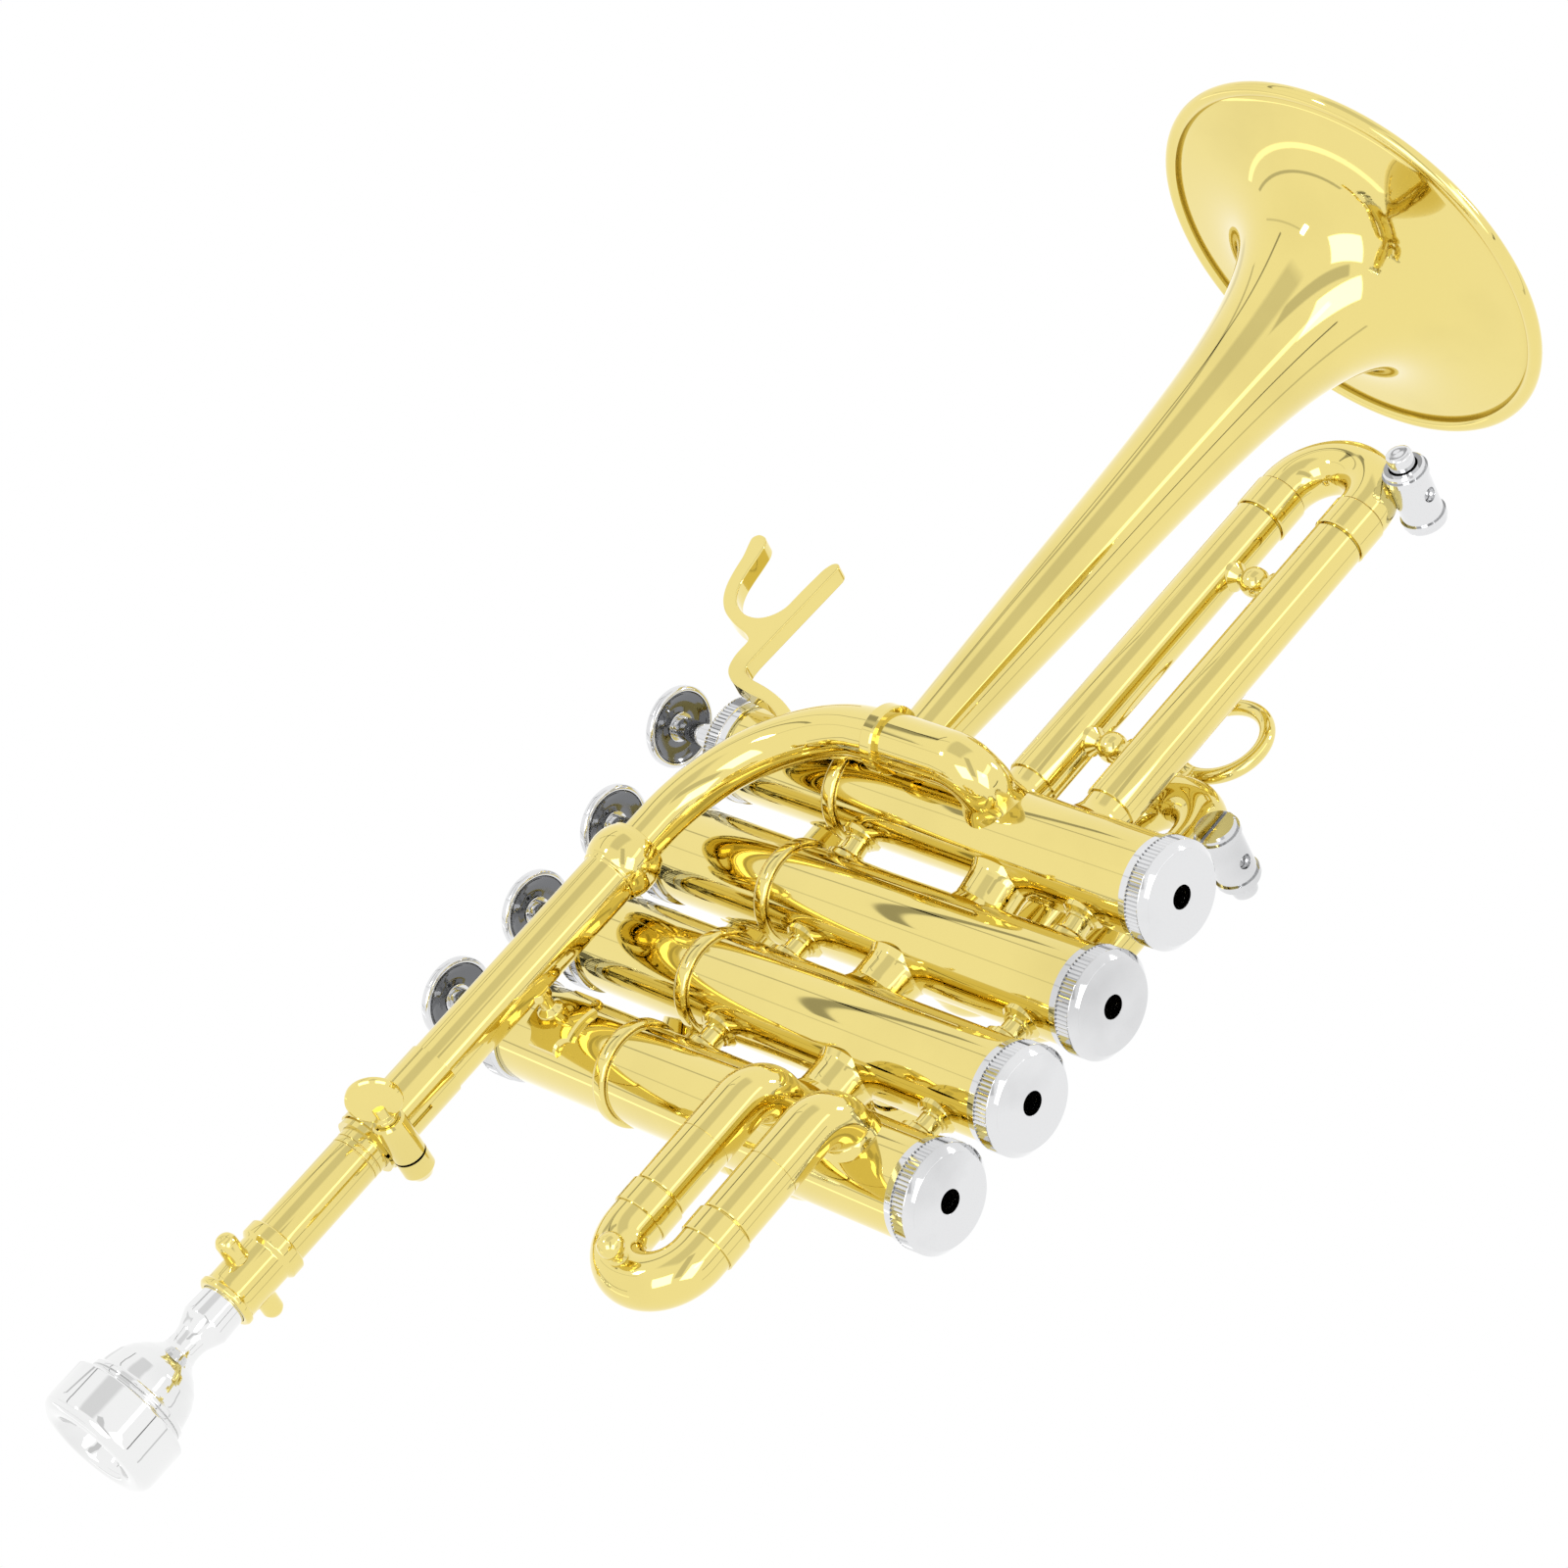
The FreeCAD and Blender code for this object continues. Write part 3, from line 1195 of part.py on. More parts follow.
def clamp_collar():
    """The clamp round the sleeve: a split ring with two lugs for the screw."""
    body = new_body("clamp_collar", ("-collar_x", "-pipe_offset", "pipe_height"))
    band = circles(body, "band", "YZ", [("0", "0", "collar_radius")])
    pad(body, band, "2 * collar_half_width", middle=True)
    drop = "lug_z - pipe_height"
    near, far = "-(lug_near - pipe_offset)", "(pipe_offset - lug_far)"
    lug = polygon(body, "lug", "XY", [
        ("0", near), ("lug_radius - peg_edge", near), ("lug_radius", near + " + peg_edge"),
        ("lug_radius", far), ("lug_radius * 2 / 3", far + " + lug_radius / 2"),
        ("0", far + " + lug_radius * 2 / 3"),
    ], ("0", "0", drop))
    spin(body, lug)
    bore = circles(body, "bore", "YZ", [("0", "0", "collar_bore_radius")])
    pad(body, bore, "4 * lug_radius", middle=True, cut=True)
    relief = circles(body, "relief", "YZ", [("0", "0", "sleeve_ring_radius + ring_clearance")],
                     ("0", "0", "collar_x + ring_clearance - sleeve_start + sleeve_ring_width"))
    pad(body, relief, "2 * lug_radius", cut=True)
    middle = "pipe_offset - lug_split_y"
    low = "-(pipe_height - lug_z + 2 * lug_radius)"
    split = polygon(body, "split", "YZ", [
        (middle + " - lug_split_width / 2", low), (middle + " + lug_split_width / 2", low),
        (middle + " + lug_split_width / 2", "0"), (middle + " - lug_split_width / 2", "0"),
    ])
    pad(body, split, "4 * lug_radius", middle=True, cut=True)
    hole = polygon(body, "hole", "XY", [
        ("0", near), ("screw_radius + screw_clearance", near),
        ("screw_radius + screw_clearance", far), ("0", far),
    ], ("0", "0", drop))
    spin(body, hole, cut=True)
    return body


def clamp_screw():
    """The clamp's thumb screw: a threaded rod, a collar and a round flat tab."""
    body = new_body("clamp_screw", ("-collar_x", "0", "lug_z"))
    face = "-(lug_near + screw_collar_gap)"
    tip = "-(lug_far + screw_collar_gap)"
    rod = polygon(body, "rod", "XY", [
        ("0", tip), ("screw_radius", tip),
        ("screw_radius", face), ("screw_collar_radius", face),
        ("screw_collar_radius", face + " - screw_collar_length"),
        ("screw_radius", face + " - screw_collar_length"),
        ("screw_radius", "-screw_tab_y"), ("0", "-screw_tab_y"),
    ])
    spin(body, rod)
    tab = blank(body, "tab", "YZ")
    tab.AttachmentOffset = FreeCAD.Placement(
        FreeCAD.Vector(value("-screw_tab_y - screw_collar_length"), 0, 0),
        FreeCAD.Rotation(FreeCAD.Vector(1, 0, 0), 45))
    tab.setExpression("AttachmentOffset.Base.x", bound("-screw_tab_y - screw_collar_length"))
    tab.addGeometry(Part.Circle(FreeCAD.Vector(0, 0, 0), FreeCAD.Vector(0, 0, 1),
                                value("screw_tab_radius - screw_collar_length")), False)
    tab.addConstraint(Sketcher.Constraint("Coincident", 0, 3, -1, 1))
    index = tab.addConstraint(Sketcher.Constraint("Radius", 0, value("screw_tab_radius - screw_collar_length")))
    tab.setExpression(f"Constraints[{index}]", bound("screw_tab_radius - screw_collar_length"))
    pad(body, tab, "screw_tab_thickness", middle=True)
    return body


def leadpipe():
    """The fixed mouthpipe tube with the ball collar at its far end."""
    body = new_body("mouthpipe", ("0", "-pipe_offset", "pipe_height"))
    profile = [
        ("-(sleeve_end + pipe_plug)", "pipe_bore_radius"),
        ("-(sleeve_end + pipe_plug)", "sleeve_bore_radius - joint_seam"),
        ("-sleeve_end", "sleeve_bore_radius - joint_seam"),
        ("-sleeve_end", "pipe_radius"),
        ("ball_x", "pipe_radius"),
        ("ball_x", "pipe_bore_radius"),
    ]
    spin(body, polygon(body, "profile", "XZ", profile), "H_Axis")
    ball = half_disc(body, "ball", "XY", "ball_radius", ("ball_x", "0", "0"))
    spin(body, ball)
    bore = circles(body, "bore", "YZ", [("0", "0", "pipe_bore_radius")], ("0", "0", "ball_x"))
    pad(body, bore, "2 * ball_radius", middle=True, cut=True)
    seat = circles(body, "seat", "YZ", [("0", "0", "crook_start_radius + joint_seam")],
                   ("0", "0", "ball_x"))
    pad(body, seat, "2 * ball_radius", back=True, cut=True)
    for name, place, back in (("front", "ball_x - ball_half", False), ("back", "ball_x + ball_half", True)):
        trim = circles(body, name, "YZ", ring("0", "0", "2 * ball_radius", "pipe_radius"),
                       ("0", "0", place))
        pad(body, trim, "2 * ball_radius", back=back, cut=True)
    return body


def tapered_bend(body, bend, start, end, cut=False):
    """A quarter bend whose radius grows from the top end to the side end."""
    kind = "PartDesign::SubtractivePipe" if cut else "PartDesign::AdditivePipe"
    tag = "bore" if cut else "tube"
    spine = blank(body, tag + "_spine", "XZ")
    size = value(bend)
    arc = Part.Circle(FreeCAD.Vector(0, 0, 0), FreeCAD.Vector(0, 0, 1), size)
    spine.addGeometry(Part.ArcOfCircle(arc, 0, math.pi / 2), False)
    spine.addConstraint([
        Sketcher.Constraint("Coincident", 0, 3, -1, 1),
        Sketcher.Constraint("PointOnObject", 0, 1, -1),
        Sketcher.Constraint("PointOnObject", 0, 2, -2),
    ])
    index = spine.addConstraint(Sketcher.Constraint("Radius", 0, size))
    spine.setExpression(f"Constraints[{index}]", bound(bend))
    first = circles(body, tag + "_end", "XY", [(bend, "0", end)])
    last = circles(body, tag + "_start", "YZ", [("0", bend, start)])
    pipe = body.newObject(kind, tag + "_sweep")
    pipe.Profile = first
    pipe.Spine = (spine, ["Edge1"])
    pipe.Sections = [(last, [""])]
    pipe.Transformation = "Multisection"
    body.Tip = pipe


CROOK_PLACE = ("crook_x", "-pipe_offset + crook_bend * sin(crook_lean)",
               "pipe_height - crook_bend * cos(crook_lean)")


def crook():
    """The growing bend of the mouthpipe, with a straight end inside the ball collar."""
    body = new_body("mouthpipe_crook", CROOK_PLACE, turn_text="crook_lean", lean=True)
    tapered_bend(body, "crook_bend", "crook_start_radius", "crook_end_radius")
    top = circles(body, "top", "YZ", [("0", "crook_bend", "crook_start_radius")])
    pad(body, top, "crook_x - ball_x - joint_seam", back=True)
    leg = circles(body, "leg", "XY", [("crook_bend", "0", "crook_end_radius")])
    pad(body, leg, "(pipe_height - crook_leg_foot) / cos(crook_lean) - crook_bend", back=True)
    tapered_bend(body, "crook_bend", "crook_start_radius - crook_wall",
                 "crook_end_radius - crook_wall", cut=True)
    hole = circles(body, "hole", "YZ", [("0", "crook_bend", "crook_start_radius - crook_wall")])
    pad(body, hole, "crook_x", cut=True).Reversed = False
    drop = circles(body, "drop", "XY", [("crook_bend", "0", "crook_end_radius - crook_wall")])
    pad(body, drop, "crook_bend", cut=True)
    return body


def elbow():
    """The lower bend of the mouthpipe into the fourth casing, with a ring on top."""
    middle = "(elbow_bend - crook_leg_y)"
    centre = "(pipe_port + elbow_bend)"
    body = new_body("mouthpipe_elbow", ("fourth_x + pipe_side_shift", middle, centre))
    low = "-elbow_bend"
    inner = "crook_end_radius - elbow_wall"
    section = ring("0", low, "crook_end_radius", inner)
    spin(body, circles(body, "bend", "XY", section), "H_Axis", 90.0)
    rise = "crook_leg_foot - crook_foot_gap - " + centre
    pad(body, circles(body, "rise", "XY", section), rise)
    cuff = ring("0", low, "crook_ring_radius", "crook_end_radius + crook_cuff_clearance")
    over = circles(body, "cuff", "XY", cuff, ("0", "0", rise))
    pad(body, over, "crook_ring_half")
    under = ring("0", low, "crook_ring_radius", inner)
    pad(body, circles(body, "cuff_base", "XY", under, ("0", "0", rise)), "crook_ring_half", back=True)
    reach = "-fourth_valve_shift - " + middle
    foot = ring("0", low, "crook_end_radius", inner)
    pad(body, circles(body, "foot", "XZ", foot), reach, back=True)
    spot = ("-pipe_side_shift", reach, "casing_radius + joint_seam")
    pad(body, circles(body, "cope", "XY", [spot]), "6 * elbow_bend", middle=True, cut=True)
    return body


def casing_brace(label, at, turn, offset, height, radius, drop):
    """A curved flange on a casing with a turned post out to a tube."""
    body = new_body(label, at, turn)
    inner = "casing_radius + joint_seam"
    outer = "casing_radius + flange_thickness"
    plate = polygon(body, "plate", "YZ", [
        ("-(" + outer + ")", "flange_bottom"), ("-(" + inner + ")", "flange_bottom"),
        ("-(" + inner + ")", "flange_top"), ("-(" + outer + ")", "flange_top"),
    ])
    spin(body, plate, angle=84.0, middle=True)
    reach = "(casing_radius * 2 / 3)"
    for index, (side, level) in enumerate((("-", "flange_bottom"), ("", "flange_bottom"),
                                           ("-", "flange_top"), ("", "flange_top"))):
        notch = circles(body, f"notch_{index}", "XZ", [(side + reach, level, "flange_notch")])
        pad(body, notch, "2 * casing_radius", back=True, cut=True)
    post = polygon(body, "post", "XY", [
        ("0", "-(" + inner + ")"), ("post_radius + peg_edge", "-(" + inner + ")"),
        ("post_radius + peg_edge", "-(" + outer + " + peg_edge)"),
        ("post_waist_radius", "-(" + outer + " + 2 * peg_edge)"),
        ("post_waist_radius", "-(" + offset + " - " + radius + " / 2 - peg_edge)"),
        ("post_radius", "-(" + offset + " - " + radius + " / 2)"),
        ("post_radius", "-" + offset), ("0", "-" + offset),
    ], ("0", "0", height + " - " + drop))
    spin(body, post)
    cope_round(body, height + " - " + drop)
    pipe = circles(body, "pipe_cut", "YZ", [("-" + offset, height, radius + " + joint_seam")])
    pad(body, pipe, "4 * post_radius", middle=True, cut=True)
    return body


def cope_round(body, level):
    """Trim a piece to the outside of the casing at the body's own axis."""
    cut = circles(body, "casing_cut", "XY", [("0", "0", "casing_radius + joint_seam")],
                  ("0", "0", level))
    pad(body, cut, "4 * post_radius", middle=True, cut=True)


def finger_hook():
    """The flat forked finger hook, whose foot stands on the mouthpipe's crook."""
    body = new_body("finger_hook", ("0", "-pipe_offset", "0"))
    points = [(f"crook_x + hook_ahead + hook_length * {x}",
               f"pipe_height - hook_drop + hook_height * {z}") for x, z in HOOK_SHARES]
    pad(body, polygon(body, "plate", "XZ", points), "hook_thickness", middle=True)
    cut = circles(body, "seat", "YZ", [("0", "crook_bend", "crook_end_radius + hook_seat")],
                  ("0", "pipe_height - crook_bend", "crook_x"))
    spin(body, cut, "H_Axis", cut=True)
    return body


POLES = [
    ("bell_crook_x + bell_ferrule_half", "bell_crook_radius"),
    ("bell_pole_two_x", "bell_pole_two_radius"),
    ("bell_pole_three_x", "bell_pole_three_radius"),
    ("bell_pole_four_x", "bell_pole_four_radius"),
    ("bell_pole_five_x", "bell_pole_five_radius"),
    ("bell_pole_six_x", "bell_pole_six_radius"),
    ("bell_pole_seven_x", "bell_pole_seven_radius"),
    ("bell_rim_x", "bell_rim_radius"),
]


def shifted_pole(index):
    """A control point of the bell's inside, one wall thickness in from the outside."""
    last = len(POLES) - 1
    before = POLES[max(index - 1, 0)]
    after = POLES[min(index + 1, last)]
    run = f"(({after[0]}) - ({before[0]}))"
    rise = f"({after[1]} - {before[1]})"
    size = f"sqrt({run} ^ 2 + {rise} ^ 2)"
    x, radius = POLES[index]
    if index == 0:
        return x, radius + " - bell_wall"
    return f"{x} + bell_wall * {rise} / {size}", f"{radius} - bell_wall * {run} / {size}"


def spline(sketch, poles):
    """A smooth curve in a sketch with each control point tied to the sheet."""
    spots = [FreeCAD.Vector(value(x), value(r), 0) for x, r in poles]
    spans = len(poles) - 3
    knots = [i / spans for i in range(spans + 1)]
    counts = [4] + [1] * (spans - 1) + [4]
    curve = Part.BSplineCurve()
    curve.buildFromPolesMultsKnots(spots, counts, knots, False, 3)
    edge = sketch.addGeometry(curve, False)
    first = sketch.GeometryCount
    sketch.exposeInternalGeometry(edge)
    for index, (x, radius) in enumerate(poles):
        fix(sketch, first + index, 3, x, radius)
    return edge, spots


def bell():
    """The bell: a flared spline wall with a rolled rim."""
    body = new_body("bell", ("0", "bell_offset", "bell_height"))
    sketch = blank(body, "flare", "XZ")
    outer, outside = spline(sketch, POLES)
    inner, inside = spline(sketch, [shifted_pole(i) for i in range(len(POLES))])
    tail = sketch.addGeometry(Part.LineSegment(outside[0], inside[0]), False)
    rim = sketch.addGeometry(Part.LineSegment(outside[-1], inside[-1]), False)
    sketch.addConstraint([
        Sketcher.Constraint("Coincident", outer, 1, tail, 1),
        Sketcher.Constraint("Coincident", inner, 1, tail, 2),
        Sketcher.Constraint("Coincident", outer, 2, rim, 1),
        Sketcher.Constraint("Coincident", inner, 2, rim, 2),
    ])
    spin(body, sketch, "H_Axis")
    bead = circles(body, "bead", "XZ", [("bell_rim_x", "bell_rim_radius", "bell_bead_radius")])
    spin(body, bead, "H_Axis")
    return body


def bell_crook():
    """The quarter bend behind the bell, with a ferrule over the bell's tail."""
    place = ("bell_crook_x", "bell_offset", "bell_height - bell_crook_bend")
    body = new_body("bell_crook", place)
    section = ring("-bell_crook_bend", "0", "bell_crook_radius", "bell_crook_radius - bell_crook_wall")
    spin(body, circles(body, "bend", "XY", section), angle=90.0)
    straight = ring("0", "bell_crook_bend", "bell_crook_radius", "bell_crook_radius - bell_crook_wall")
    pad(body, circles(body, "end", "YZ", straight), "bell_ferrule_half - joint_seam")
    base = ring("0", "bell_crook_bend", "bell_ferrule_radius", "bell_crook_radius - bell_crook_wall")
    pad(body, circles(body, "cuff_base", "YZ", base), "bell_ferrule_half - joint_seam")
    over = ring("0", "bell_crook_bend", "bell_ferrule_radius", "bell_crook_radius + bell_tail_clearance")
    place = ("0", "0", "bell_ferrule_half - joint_seam")
    pad(body, circles(body, "cuff", "YZ", over, place), "bell_ferrule_half")
    return body


def bell_elbow():
    """The lower bend of the bell tube into the first casing, with a ferrule on top."""
    body = new_body("bell_elbow", ("bell_side_shift", "bell_offset - bell_elbow_bend", "bell_elbow_z"))
    section = ring("0", "bell_elbow_bend", "bell_crook_radius", "bell_crook_radius - bell_crook_wall")
    spin(body, circles(body, "bend", "XY", section), "H_Axis", 90.0, back=True)
    rise = "bell_height - bell_crook_bend - bell_elbow_z - joint_seam"
    pad(body, circles(body, "rise", "XY", section), rise)
    cuff = ring("0", "bell_elbow_bend", "bell_ferrule_radius", "bell_crook_radius - bell_crook_wall")
    pad(body, circles(body, "cuff", "XY", cuff, ("0", "0", rise)), "bell_ferrule_half", back=True)
    foot = ring("0", "-bell_elbow_bend", "bell_crook_radius", "bell_crook_radius - bell_crook_wall")
    run = "bell_offset - bell_elbow_bend"
    pad(body, circles(body, "foot", "XZ", foot), run)
    spot = ("-bell_side_shift", "-(" + run + ")", "casing_radius + joint_seam")
    pad(body, circles(body, "cope", "XY", [spot]), "4 * bell_elbow_bend", middle=True, cut=True)
    return body


def build():
    """Make every named piece of the instrument."""
    fill_sheet()
    guides, inner_felts, outer_felts = [], [], []
    for number, at, ports in VALVES:
        casing(number, at, ports)
        bottom_cap(number, at)
        top_cap(number, at)
        piston(number, at)
        stem(number, at)
        button(number, at)
        spring(number, at)
        guides.append(guide(number, at))
        under = "top_cap_ceiling - inner_felt_height - joint_seam"
        inner_felts.append(felt("inner_felt_" + number, at, "inner_felt_radius",
                                "inner_felt_bore_radius", under, "inner_felt_height"))
        outer_felts.append(felt("outer_felt_" + number, at, "outer_felt_radius",
                                "stem_hole_radius", "hub_height + joint_seam", "outer_felt_height"))
    group("valve_guides", guides)
    group("valve_felts", inner_felts + outer_felts)
    knuckles, spools = [], []
    for index, (at, tilt, height, upper, lower) in enumerate(GAPS, start=1):
        knuckles.append(knuckle(f"knuckle_{index}", at, height, tilt))
        spools.append(spool(f"upper_spool_{index}", at, upper, tilt))
        spools.append(spool(f"lower_spool_{index}", at, lower, tilt))
    group("valve_knuckles", knuckles)
    group("casing_spools", spools)
    slides()
    finger_ring()
    slide_braces()
    middle = "(fourth_loop_upper + fourth_loop_lower) / 2"
    water_key("1", ("first_key_x", "-fourth_valve_shift", "first_key_z"), 0, "fourth",
              "fourth_bow_centre - first_key_x", middle + " - first_key_z", "fourth_tube_radius", False)
    middle = "(third_loop_upper + third_loop_lower) / 2"
    water_key("2", ("second_key_x", "third_slide_offset", "second_key_z"), 180, "third",
              "second_key_x - third_bow_centre", middle + " - second_key_z", "tube_radius", True)
    mouthpiece()
    receiver()
    shank()
    sleeve()
    clamp_collar()
    clamp_screw()
    leadpipe()
    crook()
    elbow()
    near = casing_brace("near_brace", ("0", "0", "0"), 0, "pipe_offset", "pipe_height",
                        "pipe_radius", "pipe_post_drop")
    far = casing_brace("far_brace", ("2 * valve_pitch", "0", "0"), 180, "bell_offset", "bell_height",
                       "(bell_crook_radius + bell_brace_clearance)", "bell_post_drop")
    group("tube_braces", [near, far])
    finger_hook()
    bell()
    bell_crook()
    bell_elbow()


GROUPED = ("blank", "passages", "guide_", "inner_felt_", "outer_felt_", "knuckle_", "upper_spool_",
          "lower_spool_", "first_leg_", "second_leg_", "third_leg_", "fourth_leg_", "slide_brace_",
          "near_brace", "far_brace")


def nodes():
    """The objects that become files: all bodies, cuts and groups that stand for a piece."""
    kinds = ("PartDesign::Body", "Part::Cut", "Part::Compound")
    pieces = [item for item in doc.Objects if item.TypeId in kinds]
    return [item for item in pieces
            if not item.Label.startswith(GROUPED) and "_blank_" not in item.Label]


def check():
    """Stop if any object failed to build."""
    faults = []
    for item in doc.Objects:
        if "Invalid" in item.State or "Error" in item.State:
            faults.append(item.Label + " " + str(item.State))
    for item in nodes():
        if item.Shape.isNull() or not item.Shape.isValid():
            faults.append(item.Label + " has no sound shape")
        elif not item.Shape.Solids:
            faults.append(item.Label + " has no solid")
    if faults:
        raise RuntimeError("; ".join(faults))


build()
doc.recompute()
check()
os.makedirs("parts", exist_ok=True)
for piece in nodes():
    piece.Shape.exportStep("parts/" + piece.Label + ".step")
print(len(nodes()), "pieces written")
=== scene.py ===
import logging
import math
from dataclasses import dataclass, field
from enum import Enum

import bmesh
import bpy
from mathutils import Matrix, Quaternion, Vector


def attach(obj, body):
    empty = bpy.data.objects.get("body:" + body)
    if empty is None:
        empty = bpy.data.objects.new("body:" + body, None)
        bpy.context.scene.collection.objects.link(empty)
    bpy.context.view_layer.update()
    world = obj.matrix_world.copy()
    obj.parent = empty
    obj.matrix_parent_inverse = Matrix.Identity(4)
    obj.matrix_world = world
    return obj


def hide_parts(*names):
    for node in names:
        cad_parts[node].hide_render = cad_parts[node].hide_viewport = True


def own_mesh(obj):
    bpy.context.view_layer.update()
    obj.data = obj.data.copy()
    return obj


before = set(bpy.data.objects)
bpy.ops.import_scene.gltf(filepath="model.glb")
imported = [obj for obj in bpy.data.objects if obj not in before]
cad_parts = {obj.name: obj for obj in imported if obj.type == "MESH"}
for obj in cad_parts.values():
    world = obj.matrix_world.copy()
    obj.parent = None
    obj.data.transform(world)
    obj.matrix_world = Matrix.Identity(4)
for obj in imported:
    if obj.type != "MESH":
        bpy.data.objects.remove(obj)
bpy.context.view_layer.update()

MM = 0.001
# What a radius is where a solid piece meets its axis, in millimetres: too small to see.
SOLID = 0.01

Point = tuple[float, float]
Spot = tuple[float, float, float]
log = logging.getLogger("piccolo")


class Axis(Enum):
    """The direction that a turned piece lies along."""

    X = "X"
    Y = "Y"
    Z = "Z"


class Body(Enum):
    """The moving bodies that pieces ride on."""

    FIXED = "instrument"
    PULL = "mouthpipe_pull"
    MOUTHPIECE = "mouthpiece"
    SCREW = "clamp_screw"
    FIRST = "first_slide"
    SECOND = "second_slide"
    THIRD = "third_slide"
    FOURTH = "fourth_slide"
    KEY_ONE = "water_key_1_plunger"
    KEY_TWO = "water_key_2_plunger"


# Node groups


def open_group(name: str, inputs: list[tuple[str, str, float]],
               outputs: list[tuple[str, str]]) -> tuple[bpy.types.NodeTree, object, object]:
    """Start a shader node group with its sockets.

    Args:
        name: the group's name.
        inputs: socket name, socket type and default value of each input.
        outputs: socket name and socket type of each output.

    Returns:
        The tree, its input node and its output node.
    """
    tree = bpy.data.node_groups.new(name, "ShaderNodeTree")
    for label, kind, default in inputs:
        socket = tree.interface.new_socket(name=label, in_out="INPUT", socket_type=kind)
        if kind == "NodeSocketFloat":
            socket.default_value = default
    for label, kind in outputs:
        tree.interface.new_socket(name=label, in_out="OUTPUT", socket_type=kind)
    return tree, tree.nodes.new("NodeGroupInput"), tree.nodes.new("NodeGroupOutput")


def noise(tree: bpy.types.NodeTree, scale: float, detail: float, rough: float = 0.5) -> object:
    """Add a noise texture in object coordinates and return its node.

    Args:
        tree: the node tree.
        scale: how fine the noise is.
        detail: how many finer layers it has.
        rough: how strong the finer layers are.

    Returns:
        The texture node.
    """
    coords = tree.nodes.new("ShaderNodeTexCoord")
    texture = tree.nodes.new("ShaderNodeTexNoise")
    texture.inputs["Scale"].default_value = scale
    texture.inputs["Detail"].default_value = detail
    texture.inputs["Roughness"].default_value = rough
    tree.links.new(coords.outputs["Object"], texture.inputs["Vector"])
    return texture


def maths(tree: bpy.types.NodeTree, operation: str, first: object, second: object) -> object:
    """Add a maths node between two sockets or numbers and return its output.

    Args:
        tree: the node tree.
        operation: the node's operation.
        first: a socket or a number.
        second: a socket or a number.

    Returns:
        The node's output socket.
    """
    node = tree.nodes.new("ShaderNodeMath")
    node.operation = operation
    for index, source in enumerate((first, second)):
        if isinstance(source, (int, float)):
            node.inputs[index].default_value = source
        else:
            tree.links.new(source, node.inputs[index])
    return node.outputs[0]


def band(tree: bpy.types.NodeTree, source: object, low: float, high: float,
         start: float, end: float) -> object:
    """Add a clamped range mapping and return its output.

    Args:
        tree: the node tree.
        source: the socket that is mapped.
        low: the value that gives the start.
        high: the value that gives the end.
        start: the result at the low value.
        end: the result at the high value.

    Returns:
        The node's output socket.
    """
    node = tree.nodes.new("ShaderNodeMapRange")
    for label, number in (("From Min", low), ("From Max", high), ("To Min", start), ("To Max", end)):
        node.inputs[label].default_value = number
    tree.links.new(source, node.inputs["Value"])
    return node.outputs["Result"]


def handling_group() -> bpy.types.NodeTree:
    """Roughness that varies as handling and cloth leave it on polished metal.

    Returns:
        The group's tree.
    """
    tree, taken, given = open_group(
        "handling", [("Base", "NodeSocketFloat", 0.1), ("Spread", "NodeSocketFloat", 0.06)],
        [("Roughness", "NodeSocketFloat")])
    broad = band(tree, noise(tree, 14.0, 3.0).outputs["Fac"], 0.42, 0.68, 0.0, 1.0)
    fine = band(tree, noise(tree, 160.0, 4.0).outputs["Fac"], 0.45, 0.75, 0.0, 0.6)
    mixed = maths(tree, "ADD", broad, fine)
    rise = maths(tree, "MULTIPLY", mixed, taken.outputs["Spread"])
    tree.links.new(maths(tree, "ADD", rise, taken.outputs["Base"]), given.inputs["Roughness"])
    return tree


def hairline_group() -> bpy.types.NodeTree:
    """Height of fine polishing scratches.

    Returns:
        The group's tree.
    """
    tree, taken, given = open_group(
        "hairlines", [("Depth", "NodeSocketFloat", 1.0)], [("Height", "NodeSocketFloat")])
    total = None
    for stretch in ((900.0, 40.0, 60.0), (50.0, 1000.0, 70.0)):
        coords = tree.nodes.new("ShaderNodeTexCoord")
        mapping = tree.nodes.new("ShaderNodeMapping")
        mapping.inputs["Scale"].default_value = stretch
        texture = tree.nodes.new("ShaderNodeTexNoise")
        texture.inputs["Scale"].default_value = 1.0
        texture.inputs["Detail"].default_value = 2.0
        tree.links.new(coords.outputs["Object"], mapping.inputs["Vector"])
        tree.links.new(mapping.outputs["Vector"], texture.inputs["Vector"])
        line = band(tree, texture.outputs["Fac"], 0.58, 0.72, 0.0, 1.0)
        total = line if total is None else maths(tree, "ADD", total, line)
    tree.links.new(maths(tree, "MULTIPLY", total, taken.outputs["Depth"]), given.inputs["Height"])
    return tree


def tarnish_and_shade_group() -> bpy.types.NodeTree:
    """Mask of painted shade in corners and creases, from ambient occlusion, and of faint darker tarnish in
    broad random patches.

    Returns:
        The group's tree.
    """
    tree, taken, given = open_group(
        "tarnish_and_shade", [("Amount", "NodeSocketFloat", 0.3)], [("Mask", "NodeSocketFloat")])
    # Ambient occlusion darkens corners, creases and joins between pieces: this part of the mask is painted
    # shade.
    cavity = tree.nodes.new("ShaderNodeAmbientOcclusion")
    cavity.inputs["Distance"].default_value = 2.5 * MM
    cavity.samples = 6
    cavity.only_local = True
    corner = band(tree, cavity.outputs["AO"], 0.15, 0.75, 1.0, 0.0)
    patch = band(tree, noise(tree, 30.0, 4.0).outputs["Fac"], 0.5, 0.8, 0.0, 0.35)
    both = maths(tree, "MAXIMUM", corner, patch)
    tree.links.new(maths(tree, "MULTIPLY", both, taken.outputs["Amount"]), given.inputs["Mask"])
    return tree


